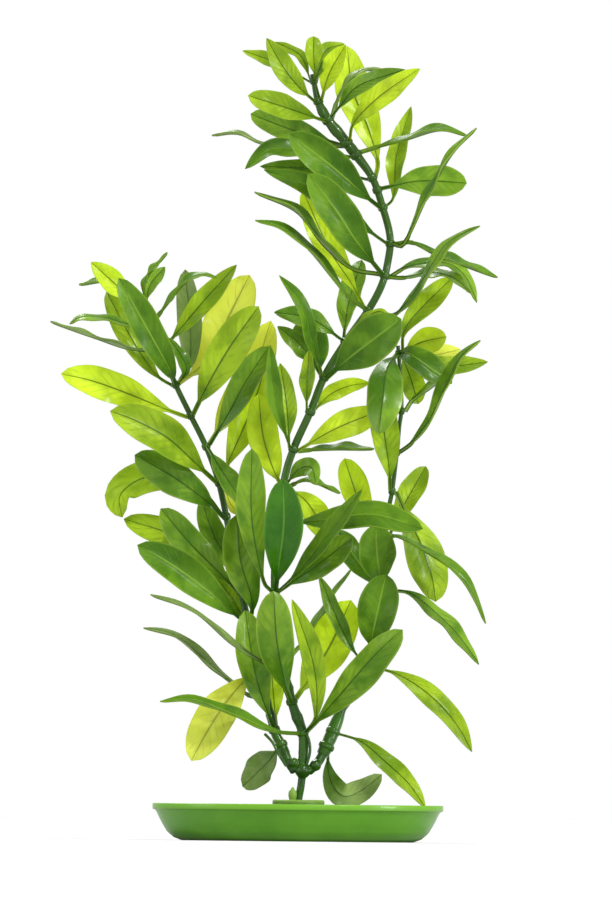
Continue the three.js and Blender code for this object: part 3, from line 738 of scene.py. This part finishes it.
@dataclass(frozen=True)
class LeafFinish:
    """One lit or shaded copy of the thin moulded leaf plastic: its colours paint a leaf's light and
    shade.

    A share is how strongly a mark shows, a reach the stretch of the blade over which it starts and
    ends, a scale that of a noise, and a depth how much a mark adds to the relief.
    """

    shade: Shade
    face: str
    patch: str
    glow: str
    vein: str
    margin: str
    # The foot colour, which also paints the shade of the shaded half.
    foot: str
    translucency: float
    roughness: float = 0.36
    vein_share: float = 0.32
    half_share: float = 0.5
    coat: float = 0.12
    coat_roughness: float = 0.14
    gloss: float = 0.16
    rib_share: float = 0.85
    margin_share: float = 0.55
    tip_reach: Pair = (0.5, 1.0)
    tip_share: float = 0.45
    foot_reach: Pair = (0.02, 0.42)
    foot_share: float = 0.75
    foot_glow_share: float = 0.6
    dull_share: float = 0.6
    grain_scale: float = 700.0
    grain_share: float = 0.06
    grain_depth: float = 0.015
    vein_depth: float = 0.25
    pucker_scale: float = 130.0
    bump: float = 0.45

    def material(self, pattern: bpy.types.NodeTree) -> Material:
        """Build the material.

        Args:
            pattern: The shared leaf pattern group.

        Returns:
            The material.
        """
        material, sheet, shader = blank_material(self.shade.value)
        coords = sheet.add("ShaderNodeTexCoord").outputs
        split = sheet.add("ShaderNodeSeparateXYZ")
        sheet.wire(coords["UV"], split.inputs[0])
        along = split.outputs["X"]
        marked = sheet.add("ShaderNodeGroup", node_tree=pattern)
        sheet.feed(marked, {"U": along, "V": split.outputs["Y"], "Place": coords["Object"]})
        marks = marked.outputs
        veins = sheet.times(marks["Veins"], self.vein_share)
        lines = sheet.math("MAXIMUM", veins, sheet.times(marks["Rib"], self.rib_share))
        foot = sheet.rest(sheet.ramp(along, *self.foot_reach))
        # Painted shade: the shaded half and the dips beside the veins take the foot colour.
        shaded = sheet.times(marks["Half"], self.half_share)
        face = sheet.mix(marks["Mottle"], linear(self.face), linear(self.patch))
        for share, colour in (
            (sheet.times(sheet.ramp(along, *self.tip_reach), self.tip_share), self.patch),
            (sheet.times(foot, self.foot_share), self.foot),
            (shaded, self.foot),
            (sheet.times(marks["Margin"], self.margin_share), self.margin),
            (lines, self.vein),
        ):
            face = sheet.mix(share, face, linear(colour))
        grain = sheet.noise(coords["Object"], self.grain_scale)
        relief = sheet.fit(marks["Veins"], -self.vein_depth, sheet.times(grain, self.grain_depth))
        relief = sheet.math("ADD", relief, sheet.noise(coords["Object"], self.pucker_scale))
        sheet.feed(shader, {
            "Base Color": face,
            "Roughness": sheet.fit(grain, self.grain_share, self.roughness - self.grain_share / 2),
            "Specular IOR Level": self.gloss,
            "Coat Weight": self.coat,
            "Coat Roughness": self.coat_roughness,
            "Normal": sheet.bump(relief, self.bump, distance=1.0),
        })
        dull = sheet.fit(marks["Mottle"], -self.dull_share, self.dull_share)
        glow = sheet.mix(dull, linear(self.glow), linear(self.face))
        # The light let through is dimmed too: painted shade on the shaded half, and darker at the
        # foot.
        dim = sheet.math("MAXIMUM", shaded, sheet.times(foot, self.foot_glow_share))
        glow = sheet.mix(dim, glow, linear(self.foot))
        glow = sheet.mix(lines, glow, linear(self.vein))
        through = sheet.add("ShaderNodeBsdfTranslucent")
        sheet.wire(glow, through.inputs["Color"])
        both = sheet.add("ShaderNodeMixShader")
        for i, source in enumerate((self.translucency, shader.outputs[0], through.outputs[0])):
            sheet.wire(source, both.inputs[i])
        output = material.node_tree.nodes["Material Output"]
        sheet.wire(both.outputs[0], output.inputs["Surface"])
        return material


# Lit and shaded copies of the one leaf plastic: each paints a leaf's light and shade.
LEAF_FINISHES = (
    LeafFinish(BRIGHT, "#b2c828", "#d8ea3e", "#e2f636", "#56761a", "#a8bc34", "#7a9e1e", 0.52,
               vein_share=0.25, half_share=0.3),
    LeafFinish(LIGHT, "#7c9e1a", "#b0ca2e", "#c2dc28", "#426a14", "#a4be38", "#4e7c18", 0.45),
    LeafFinish(MID, "#568418", "#8ab030", "#94bc28", "#386214", "#a2be46", "#366a14", 0.4, 0.34,
               coat=0.25),
    LeafFinish(DARK, "#467212", "#6c981e", "#78a01c", "#86ac34", "#92b438", "#306010", 0.36, 0.38,
               coat=0.08),
    LeafFinish(DEEP, "#2e6808", "#427e0e", "#4e8810", "#5c9424", "#6a9c2c", "#265a0c", 0.24, 0.28,
               vein_share=0.25, coat=0.3),
    LeafFinish(PALE, "#ccd454", "#dee470", "#eaf06c", "#989f3c", "#b8c04c", "#a8b444", 0.58,
               vein_share=0.3, half_share=0.2),
    LeafFinish(DIM, "#74903e", "#90a85c", "#98b45a", "#587638", "#6a883e", "#5e7e3a", 0.3),
)


@dataclass(frozen=True)
class PlasticFinish:
    """A moulded green plastic that turns from its base to its edge colour over a rise: painted
    light on the tops of the dish's lip and the hub's flange, and a lighter stem higher up.
    """

    name: str
    base: str
    patch: str
    edge: str
    rise: Pair
    roughness: float
    grain_scale: float = 260.0
    grain_share: float = 0.16
    bump: float = 0.25
    bump_depth: float = 0.3
    coat: float = 0.0
    gloss: float = 0.3
    cloud_scale: float = 60.0
    clouds: Pair = (0.3, 0.7)

    def material(self) -> Material:
        """Build the material."""
        material, sheet, shader = blank_material(self.name)
        spot = sheet.add("ShaderNodeTexCoord").outputs["Object"]
        split = sheet.add("ShaderNodeSeparateXYZ")
        sheet.wire(spot, split.inputs[0])
        clouds = sheet.ramp(sheet.noise(spot, self.cloud_scale, detail=3.0), *self.clouds)
        body = sheet.mix(clouds, linear(self.base), linear(self.patch))
        # The edge colour paints the light on the tops of the dish and the hub, and lightens the
        # stems higher up.
        rise = sheet.ramp(split.outputs["Z"], *(height * MM for height in self.rise))
        grain = sheet.noise(spot, self.grain_scale, detail=4.0, roughness=0.6)
        sheet.feed(shader, {
            "Base Color": sheet.mix(rise, body, linear(self.edge)),
            "Roughness": sheet.fit(grain, self.grain_share, self.roughness - self.grain_share / 2),
            "Coat Weight": self.coat,
            "Specular IOR Level": self.gloss,
            "Normal": sheet.bump(grain, self.bump, self.bump_depth),
        })
        return material


DISH_PLASTIC = PlasticFinish("dish_plastic", "#457c10", "#508816", "#629a18", (10.8, 13.4), 0.36,
                             coat=0.15)
HUB_PLASTIC = PlasticFinish("hub_plastic", "#4c701a", "#5e8026", "#6e9032", (14.0, 15.6), 0.42)
STEM_PLASTIC = PlasticFinish("stem_plastic", "#183806", "#34600e", "#2c4e0a", (60.0, 200.0), 0.26,
                             grain_scale=420.0, bump=0.7, coat=0.2, gloss=0.2)


# Where each form's blade is widest, and how roundly it closes to its tip.
PEAKS = {Form.BLUNT: (0.58, 0.6), Form.POINTED: (0.48, 0.85), Form.SPOON: (0.68, 0.48)}


@dataclass
class LeafMould:
    """A flat leaf from which the copies are bent.

    It is one unit long and one unit wide at its widest, and its thickness is in millimetres. Its
    near is how close a vertex of a row, a column or the midrib lies to its line, in units.
    """

    form: Form
    rows: int = 26
    columns: int = 8
    near: float = 1e-5
    thickness: float = 0.55
    rib: float = 0.32
    petiole_share: float = 0.12
    petiole_width: float = 0.115
    petiole_taper: float = 0.5
    petiole_swell: float = 1.5
    swell_reach: float = 1.3
    tip_from: float = 0.999
    tip_thinning: float = 0.5
    tip_power: float = 2.3
    least_width: float = 0.02
    column_pull: dict[int, float] = field(default_factory=lambda: {1: 0.3, 2: 0.7, 3: 0.93})

    def outline(self, share: float) -> float:
        """Find the share of its full width that the leaf has at a share of its length."""
        peak, roundness = PEAKS[self.form]
        along = max(0.0, (share - self.petiole_share) / (1 - self.petiole_share))
        if along <= peak:
            blade = math.sin(math.pi / 2 * along / peak)
        else:
            blade = (1 - min(1.0, (along - peak) / (1 - peak)) ** self.tip_power) ** roundness
        stalk = self.petiole_width * (1 - along) ** self.petiole_taper
        return max(blade, stalk, self.least_width)

    def build(self) -> Piece:
        """Model the flat leaf: a grid, drawn to its outline, thickened and given its midrib."""
        deselect()
        bpy.ops.mesh.primitive_grid_add(x_subdivisions=self.rows, y_subdivisions=self.columns,
                                        size=1, location=(0.5, 0, 0))
        piece = made(f"leaf_mould_{self.form.value}")
        bpy.ops.object.transform_apply(location=True)
        edit(piece)
        for column, pull in self.column_pull.items():
            away = column / self.columns
            pick(piece, lambda co, away=away: abs(abs(co.y) - away) < self.near)
            resize((1, pull, 1))
        close()
        self._draw_uv(piece)
        edit(piece)
        for row in range(self.rows + 1):
            share = row / self.rows
            pick(piece, lambda co, share=share: abs(co.x - share) < self.near)
            resize((1, self.outline(share), 1), (share, 0, 0))
        close()
        finish_modifier(piece, "SOLIDIFY", thickness=self.thickness, offset=0.0)
        edit(piece)
        for way in (1, -1):
            pick(piece, lambda co, way=way: abs(co.y) < self.near and co.z * way > 0)
            bpy.ops.transform.translate(value=(0, 0, way * self.rib))
        pick(piece, lambda co: co.x < self.petiole_share * self.swell_reach)
        resize((1, 1, self.petiole_swell))
        pick(piece, lambda co: co.x > self.tip_from)
        resize((1, 1, self.tip_thinning), (1, 0, 0))
        close()
        return piece

    def _draw_uv(self, piece: Piece) -> None:
        """Give the rectangular grid a map of its length and width."""
        layer = piece.data.uv_layers.active.data
        for loop in piece.data.loops:
            co = piece.data.vertices[loop.vertex_index].co
            layer[loop.index].uv = (co.x, co.y + 0.5)


@dataclass
class Bender:
    """Bends copies of the moulds to the rows of the leaf charts."""

    moulds: dict[Form, Piece]
    materials: dict[Shade, Material]
    ripple: float = 0.7
    ripples: Pair = (1.6, 3.2)
    half_shift: float = 1.3
    twist: float = 14.0
    twist_pivot: float = 0.4
    cup: Pair = (-0.07, 0.1)
    fold_spread: float = 7.0

    def bend(self, row: Leaf, base: Vector, name: str, seed: int) -> Piece:
        """Lay a copy of a mould along a leaf's midrib.

        Args:
            row: The leaf's row in its chart.
            base: Where the leaf leaves its collar.
            name: A name for the copy.
            seed: Sets the leaf's own ripple, twist, cup and fold.

        Returns:
            The bent leaf.
        """
        piece = copy_of(self.moulds[row.form], name)
        mesh = piece.data
        chance = np.random.default_rng(seed)
        phase = chance.uniform(0, 2 * math.pi)
        twist = chance.uniform(-self.twist, self.twist)
        ripples = chance.uniform(*self.ripples)
        cup = chance.uniform(*self.cup) * row.width
        fold = math.radians(row.fold + chance.uniform(-self.fold_spread, self.fold_spread))
        route = Route([base, *(place(p) for p in row.through)])
        leftward = 1.0 if place(row.through[-1]).x < base.x else -1.0
        flat = np.zeros(len(mesh.vertices) * 3)
        mesh.vertices.foreach_get("co", flat)
        flat = flat.reshape(-1, 3)
        keys = [round(float(share), 4) for share in flat[:, 0]]
        frames = {}
        for key in set(keys):
            roll = row.roll + twist * (key - self.twist_pivot)
            frames[key] = self._frame(route, key, roll, leftward)
        reach: dict[float, float] = {}
        for key, across in zip(keys, flat[:, 1]):
            reach[key] = max(reach.get(key, 0.0), abs(across) * row.width)
        bent = np.zeros_like(flat)
        for i, (key, (_, across, lift)) in enumerate(zip(keys, flat)):
            centre, side, normal = frames[key]
            out = across * row.width
            shift = self.half_shift if across > 0 else 0.0
            wave = math.sin(ripples * 2 * math.pi * key + phase + shift)
            raised = lift + (abs(out) - reach[key] / 2) * math.sin(fold)
            raised += (self.ripple * wave - cup) * (2 * across) ** 2
            bent[i] = centre + (side * (out * math.cos(fold)) + normal * raised) * MM
        mesh.vertices.foreach_set("co", bent.ravel())
        mesh.update()
        paint(piece, self.materials[row.shade])
        return piece

    @staticmethod
    def _frame(route: Route, share: float, roll: float,
               leftward: float) -> tuple[Vector, Vector, Vector]:
        """Find the midrib's place and the directions across and out of the blade at a share."""
        along = route.along(share)
        viewer = Vector((0, -1, 0))
        facing = (viewer - along * viewer.dot(along)).normalized()
        up = along.cross(facing) * leftward
        turn = math.radians(roll)
        normal = facing * math.cos(turn) + up * math.sin(turn)
        return route.at(share), along.cross(normal), normal


@dataclass
class Collar:
    """The swelling where a sprig's leaves leave their stem."""

    height: float = 3.0
    waist: float = 0.7
    waist_from: float = 0.45
    sides: int = 20
    cuts: tuple[float, ...] = (0, 0.28, -0.28)

    def build(self) -> Piece:
        """Model the swelling: a barrel of radius 1 mm, pinched at both ends."""
        deselect()
        bpy.ops.mesh.primitive_cylinder_add(vertices=self.sides, radius=1, depth=self.height)
        piece = made("collar_mould")
        edit(piece)
        for cut in self.cuts:
            pick_all()
            bpy.ops.mesh.bisect(plane_co=(0, 0, self.height * cut), plane_no=(0, 0, 1))
        pick(piece, lambda co: abs(co.z) > self.height * self.waist_from)
        resize((self.waist, self.waist, 1))
        close()
        finish_modifier(piece, "SUBSURF", levels=1, render_levels=1)
        return piece

    def fit(self, mould: Piece, centre: Vector, axis: Vector, radius: float, material: Material,
            name: str) -> Piece:
        """Set a copy of the swelling on a stem.

        Args:
            mould: The swelling that build made.
            centre: Its middle, on the stem.
            axis: The stem's direction there.
            radius: The swelling's radius, in millimetres.
            material: The stem's plastic.
            name: A name for the copy.

        Returns:
            The copy.
        """
        piece = copy_of(mould, name)
        turn = axis.to_track_quat("Z", "Y").to_matrix().to_4x4()
        size = Matrix.Diagonal((radius * MM, radius * MM, MM, 1))
        piece.data.transform(Matrix.Translation(centre) @ turn @ size)
        paint(piece, material)
        return piece


@dataclass
class Stem:
    """A stem, the knots that it swells to, and the sprigs that it carries."""

    name: str
    route_points: tuple[Point, ...]
    radii: tuple[Pair, ...]
    sprigs: tuple[Sprig, ...]
    solid_radius: float
    knots: tuple[Pair, ...] = ()
    knot_spread: float = 1.5
    collar_gap: float = 0.35
    collar_wall: float = 0.9
    collar_sides: int = 6
    collar_swell: float = 0.55
    petiole_inset: float = 0.75
    ring_every: float = 1.6
    foot_overlap: float = 0.6
    crease: float = 60.0
    sprig_crease: float = 50.0

    def __post_init__(self) -> None:
        """Lay the stem's route."""
        self.route = Route([place(p) for p in self.route_points])

    def radius_at(self, height: float) -> float:
        """Find the stem's radius at a height, with its knots, in millimetres."""
        base = float(np.interp(height, *zip(*self.radii)))
        return base + sum(extra * math.exp(-((height - at) / self.knot_spread) ** 2)
                          for at, extra in self.knots)

    def rod(self, material: Material) -> Piece:
        """Model the stem, from just inside the fork to its top."""
        start = self.route.share_at_height((STUB_TOP - self.foot_overlap) * MM)
        count = int(self.route.length * (1 - start) / (self.ring_every * MM))
        spots = self.route.spread(count, start=start)
        radii = [self.radius_at(spot.z / MM) for spot in spots]
        piece = bar(self.name, spots, radius=1.0, swells=radii)
        paint(piece, material)
        smooth(piece, self.crease)
        return piece

    def petiole_base(self, row: Leaf, centre: Vector, axis: Vector) -> Vector:
        """Find where a leaf leaves its collar."""
        out = place(row.through[0]) - centre
        out = (out - axis * out.dot(axis)).normalized()
        inner = (self.solid_radius + self.collar_gap) / math.cos(math.pi / self.collar_sides)
        return centre + out * ((inner + self.collar_wall / 2) * MM * self.petiole_inset)

    def dress(self, bender: Bender, collar: Collar, mould: Piece, stem_plastic: Material) -> None:
        """Build the stem and its sprigs, and fix them to the frame.

        Args:
            bender: Bends the leaves.
            collar: The collar's sizes.
            mould: The collar's mould.
            stem_plastic: The stem's material.
        """
        settle(self.rod(stem_plastic), "stem", f"{self.name}_stem")
        for number, row in enumerate(self.sprigs, start=1):
            share = self.route.share_at_height(row.height * MM)
            centre, axis = self.route.at(share), self.route.along(share)
            label = f"{self.name}_sprig_{number}"
            radius = self.radius_at(row.height) + self.collar_swell
            pieces = [collar.fit(mould, centre, axis, radius, stem_plastic, f"{label}_collar")]
            for i, one in enumerate(row.leaves):
                base = self.petiole_base(one, centre, axis)
                seed = int(row.height * 10) + 7 * i
                pieces.append(bender.bend(one, base, f"{label}_leaf_{i + 1}", seed))
            whole = join(pieces, label)
            smooth(whole, self.sprig_crease)
            settle(whole, "leaf", f"{self.name}_leaves_{number}")


@dataclass
class Turned:
    """A piece drawn as a half outline and spun about an upright axis. Its weld is in metres."""

    name: str
    outline: tuple[Pair, ...]
    steps: int
    centre_x: float = 0.0
    depth_share: float = 1.0
    weld: float = 1e-6

    def build(self) -> Piece:
        """Model the piece by extruding a point along its outline and spinning it."""
        deselect()
        bpy.ops.mesh.primitive_plane_add(size=MM)
        piece = made(self.name)
        edit(piece)
        pick_all()
        bpy.ops.mesh.merge(type="CENTER")
        pick_all()
        first_x, first_z = self.outline[0]
        bpy.ops.transform.translate(value=(first_x * MM, 0, first_z * MM))
        for before, after in zip(self.outline, self.outline[1:]):
            step = ((after[0] - before[0]) * MM, 0, (after[1] - before[1]) * MM)
            bpy.ops.mesh.extrude_region_move(TRANSFORM_OT_translate={"value": step})
        pick_all()
        bpy.ops.mesh.spin(steps=self.steps, angle=2 * math.pi, center=(0, 0, 0), axis=(0, 0, 1))
        pick_all()
        bpy.ops.mesh.remove_doubles(threshold=self.weld)
        bpy.ops.mesh.normals_make_consistent(inside=False)
        resize((1, self.depth_share, 1))
        bpy.ops.transform.translate(value=(self.centre_x * MM, 0, 0))
        close()
        return piece


def rounded(points: Sequence[Pair], radii: dict[int, float],
            arc_steps: int = 4) -> tuple[Pair, ...]:
    """Round chosen corners of an outline with arcs.

    Args:
        points: The outline's corners.
        radii: The rounding of each chosen corner, by its number.
        arc_steps: How many steps an arc has.

    Returns:
        The outline with its corners rounded.
    """
    result: list[Pair] = []
    for i, point in enumerate(points):
        if i not in radii:
            result.append(point)
            continue
        here = Vector(point)
        back = (Vector(points[i - 1]) - here).normalized() * radii[i]
        ahead = (Vector(points[i + 1]) - here).normalized() * radii[i]
        for step in range(arc_steps + 1):
            t = step / arc_steps
            result.append(tuple(here + back * (1 - t) ** 2 + ahead * t ** 2))
    return tuple(result)


@dataclass
class Dish:
    """The shallow oval dish with its rim lip, foot ring and boss."""

    width: float = 108.4
    depth: float = 78.0
    height: float = 13.8
    wall: float = 1.8
    floor_top: float = 2.6
    recess: float = 0.8
    steps: int = 144
    boss_steps: int = 64
    crease: float = 40.0

    def bowl(self) -> Piece:
        """Model the bowl."""
        rim = self.width / 2
        inside = rim - self.wall
        corners = (
            (0, self.recess), (38.8, self.recess), (39.8, 0), (43.2, 0), (46.2, 1.1), (48.8, 3.3),
            (50.6, 6.3), (52.4, 10), (rim - 1.1, self.height - 2.5), (rim, self.height - 2.2),
            (rim, self.height), (inside, self.height), (inside - 0.7, 11), (48.2, 6.4), (45.4, 3.8),
            (42.6, self.floor_top), (0, self.floor_top),
        )
        outline = rounded(corners, {1: 0.4, 2: 0.4, 3: 0.6, 5: 0.8, 6: 0.8, 8: 0.4, 9: 0.4, 10: 0.5,
                                    11: 0.5, 13: 1.2, 14: 1.0})
        return Turned("dish", outline, self.steps, depth_share=self.depth / self.width).build()

    def boss(self) -> Piece:
        """Model the boss that holds the hub clip, with its foot."""
        corners = (
            (0, 0), (8.5, 0), (8.5, 1.4), (7.9, self.floor_top), (7.4, 4.4), (7.4, 12.6),
            (3.2, 12.6), (3.2, 5), (0, 5),
        )
        outline = rounded(corners, {1: 0.3, 3: 0.6, 4: 0.8, 5: 0.4, 6: 0.2})
        return Turned("dish_boss", outline, self.boss_steps, HUB_X).build()

    def dress(self, material: Material) -> None:
        """Build the dish and fix it to the frame."""
        whole = join([self.bowl(), self.boss()], "dish_moulding")
        paint(whole, material)
        smooth(whole, self.crease)
        settle(whole, "dish", "dish")


@dataclass
class HubClip:
    """The round flange that clips the plant into the dish, with its bud."""

    steps: int = 72
    crease: float = 45.0
    bud_place: Point = (-2.0, -2.3, 17.4)
    bud_radius: float = 1.6
    bud_rings: int = 14
    bud_stretch: float = 1.8
    bud_shoulder: float = 1.4
    bud_taper: float = 0.6

    def flange(self) -> Piece:
        """Model the flange with the plug under it."""
        corners = (
            (0, 5.4), (2.8, 5.4), (2.8, 13), (9.7, 13), (9.7, 15.5), (1.9, 15.5), (1.9, 9), (0, 9),
        )
        outline = rounded(corners, {1: 0.5, 3: 0.4, 4: 0.8, 5: 0.4})
        return Turned("hub_flange", outline, self.steps, HUB_X).build()

    def bud(self) -> Piece:
        """Model the bud: a ball, stretched upwards and narrowed above its shoulder."""
        middle = Vector(self.bud_place) * MM
        piece = ball("hub_bud", middle, self.bud_radius, self.bud_rings)
        edit(piece)
        pick_all()
        resize((1, 1, self.bud_stretch), middle)
        pick(piece, lambda co: co.z > middle.z + self.bud_shoulder * MM)
        resize((self.bud_taper, self.bud_taper, 1), middle)
        close()
        return piece

    def dress(self, material: Material) -> None:
        """Build the clip and fix it to the frame."""
        whole = join([self.flange(), self.bud()], "hub_clip_moulding")
        paint(whole, material)
        smooth(whole, self.crease)
        settle(whole, "hub", "hub_clip")


@dataclass
class Crown:
    """The post and the fork that the stems leave. A knot is its x, its height and its radius."""

    post_radius: float = 1.5
    post_steps: int = 12
    stub_radius: float = 1.8
    stub_steps: int = 6
    stub_inset: float = 0.3
    knots: tuple[Point, ...] = ((1.7, 26.4, 3.0), (-1.9, 29.2, 2.1), (6.4, 28.4, 2.2))
    knot_rings: int = 12
    voxel: float = 0.28
    melt: float = 0.5
    melt_rounds: int = 3
    strand_radius: float = 0.55
    strand_steps: int = 10
    strands: tuple[tuple[Point, ...], ...] = (
        ((-4.2, -1, 28), (-7.3, -1, 33), (-9.4, 0, 37), (-12.2, 1, 40)),
        ((3.4, -1.2, 28.5), (4.6, -1.4, 33), (4.4, -1.4, 37), (3.2, -1, 40.5)),
    )

    def fork(self, stems: Sequence[Stem]) -> Piece:
        """Model the post, the branches and the knots, melted together.

        Args:
            stems: The stems that leave the crown.

        Returns:
            The fork.
        """
        post = Route([place(p) for p in POST_ROUTE])
        pieces = [bar("crown_post", post.spread(self.post_steps), self.post_radius)]
        for stem in stems:
            end = stem.route.share_at_height((STUB_TOP - self.stub_inset) * MM)
            spots = stem.route.spread(self.stub_steps, end=end)
            pieces.append(bar(f"crown_{stem.name}", spots, self.stub_radius))
        for x, z, radius in self.knots:
            pieces.append(ball("crown_knot", (x * MM, 0, z * MM), radius, self.knot_rings))
        whole = join(pieces, "root_fork")
        finish_modifier(whole, "REMESH", mode="VOXEL", voxel_size=self.voxel * MM)
        finish_modifier(whole, "SMOOTH", factor=self.melt, iterations=self.melt_rounds)
        return whole

    def dress(self, stems: Sequence[Stem], material: Material) -> None:
        """Build the crown with its two strands and fix it to the frame.

        Args:
            stems: The stems that leave the crown.
            material: The stems' plastic.
        """
        pieces = [self.fork(stems)]
        for i, points in enumerate(self.strands, start=1):
            spots = Route([place(p) for p in points]).spread(self.strand_steps)
            pieces.append(bar(f"crown_strand_{i}", spots, self.strand_radius))
        whole = join(pieces, "root_fork")
        paint(whole, material)
        activate(whole)
        bpy.ops.object.shade_smooth()
        settle(whole, "stem", "root_crown")


@dataclass
class Studio:
    """The pale floor, the soft lights and the camera.

    Each of the suns is what sun takes. The distance, sight and floor size are in metres.
    """

    pixels_per_mm: float = 2.683
    origin_px: Pair = (297.5, 841.3)
    image_px: tuple[int, int] = (612, 914)
    distance: float = 8.0
    eye_height: float = 14.0
    photo_roll: float = 0.6
    sensor: float = 36.0
    sight: float = 50.0
    room_light: float = 0.78
    floor_size: float = 16.0
    floor_grey: float = 0.55
    floor_roughness: float = 0.9
    floor_gloss: float = 0.1
    suns: tuple[tuple[str, float, float, float, float], ...] = (
        ("key", 35, 48, 2.0, 9), ("side", 60, 6, 1.2, 14), ("fill", -65, 15, 0.7, 30),
        ("back", 200, 50, 2.5, 25), ("glint", 14, 16, 0.45, 5),
    )

    def camera(self) -> None:
        """Set the camera level with the dish's rim, framed as the photograph is."""
        across = (self.image_px[0] / 2 - self.origin_px[0]) / self.pixels_per_mm
        above = (self.origin_px[1] - self.image_px[1] / 2) / self.pixels_per_mm
        frame_height = self.image_px[1] / self.pixels_per_mm * MM
        target = place((across, 0, above))
        deselect()
        bpy.ops.object.camera_add()
        camera = made("camera")
        camera.location = Vector((target.x, -self.distance, self.eye_height * MM))
        look = target - camera.location
        turn = look.to_track_quat("-Z", "Y").to_matrix()
        roll = Matrix.Rotation(math.radians(self.photo_roll), 3, "Z")
        camera.rotation_euler = (turn @ roll).to_euler()
        camera.data.sensor_width = self.sensor
        camera.data.lens = self.sensor * look.length / frame_height
        camera.data.clip_end = self.sight
        bpy.context.scene.camera = camera

    def sun(self, name: str, azimuth: float, elevation: float, power: float,
            softness: float) -> None:
        """Add one soft, far light.

        Args:
            name: The light's name.
            azimuth: Where it stands: 0 is the camera's side, 90 the right.
            elevation: Its height above the horizon, in degrees.
            power: Its power, in watts a square metre.
            softness: The angle that it fills, in degrees.
        """
        deselect()
        bpy.ops.object.light_add(type="SUN", location=(0, 0, 1))
        lamp = made(name)
        lamp.data.energy = power
        lamp.data.angle = math.radians(softness)
        turn, rise = math.radians(azimuth), math.radians(elevation)
        level = math.cos(rise)
        away = Vector((math.sin(turn) * level, -math.cos(turn) * level, math.sin(rise)))
        lamp.rotation_euler = away.to_track_quat("Z", "Y").to_euler()

    def floor(self) -> None:
        """Lay the pale floor."""
        deselect()
        bpy.ops.mesh.primitive_plane_add(size=self.floor_size, location=(0, 0, 0))
        sheet = made("floor")
        material, nodes, shader = blank_material("floor_paper")
        nodes.feed(shader, {
            "Base Color": (self.floor_grey, self.floor_grey, self.floor_grey, 1),
            "Roughness": self.floor_roughness,
            "Specular IOR Level": self.floor_gloss,
        })
        paint(sheet, material)

    def world(self) -> None:
        """Fill the room with even white light, which the camera sees at full strength."""
        world = bpy.data.worlds.new("white_room")
        bpy.context.scene.world = world
        world.use_nodes = True
        sheet = NodeSheet(world.node_tree)
        seen = sheet.add("ShaderNodeLightPath").outputs["Is Camera Ray"]
        sheet.feed(world.node_tree.nodes["Background"], {
            "Color": (1, 1, 1, 1),
            "Strength": sheet.fit(seen, 1.0 - self.room_light, self.room_light),
        })

    def build(self) -> None:
        """Set up everything that isn't part of the object."""
        self.camera()
        self.floor()
        self.world()
        for sun in self.suns:
            self.sun(*sun)
        scene = bpy.context.scene
        scene.view_settings.view_transform = "Standard"
        scene.view_settings.look = "None"


CENTRE_STEM = Stem(
    "centre", CENTRE_ROUTE,
    ((33, 1.85), (48, 1.8), (62, 1.5), (150, 1.45), (248, 1.4), (255, 1.8), (266, 2.0), (273, 1.7),
     (279, 1.2), (286, 0.9)),
    CENTRE_SPRIGS, 1.4, ((46, 0.4), (57, 0.5), (64, 0.25), (258, 0.3), (265, 0.3), (272, 0.3)),
)
LEFT_STEM = Stem(
    "left", LEFT_ROUTE, ((33, 1.95), (42, 1.75), (50, 1.35), (120, 1.2), (202, 0.9)),
    LEFT_SPRIGS, 1.25, ((47, 0.35), (52, 0.25), (66, 0.2)),
)
RIGHT_STEM = Stem(
    "right", RIGHT_ROUTE,
    ((33, 2.25), (45, 2.05), (50, 1.45), (60, 1.15), (120, 0.85), (185, 0.75)),
    RIGHT_SPRIGS, 1.15, ((35, 0.4), (39, 0.4), (43, 0.4), (46, 0.3), (52, 0.5)),
)


def main() -> None:
    """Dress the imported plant, piece by piece."""
    logging.basicConfig(level=logging.INFO, format="%(message)s")
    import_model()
    Studio().build()
    pattern = LeafPattern().build()
    leaf_plastics = {finish.shade: finish.material(pattern) for finish in LEAF_FINISHES}
    stem_plastic = STEM_PLASTIC.material()
    Dish().dress(DISH_PLASTIC.material())
    HubClip().dress(HUB_PLASTIC.material())
    stems = (CENTRE_STEM, LEFT_STEM, RIGHT_STEM)
    Crown().dress(stems, stem_plastic)
    moulds = {form: LeafMould(form).build() for form in Form}
    collar = Collar()
    collar_mould = collar.build()
    bender = Bender(moulds, leaf_plastics)
    for stem in stems:
        stem.dress(bender, collar, collar_mould, stem_plastic)
    for mould in (*moulds.values(), collar_mould):
        bpy.data.objects.remove(mould)


if __name__ == "__main__":
    main()
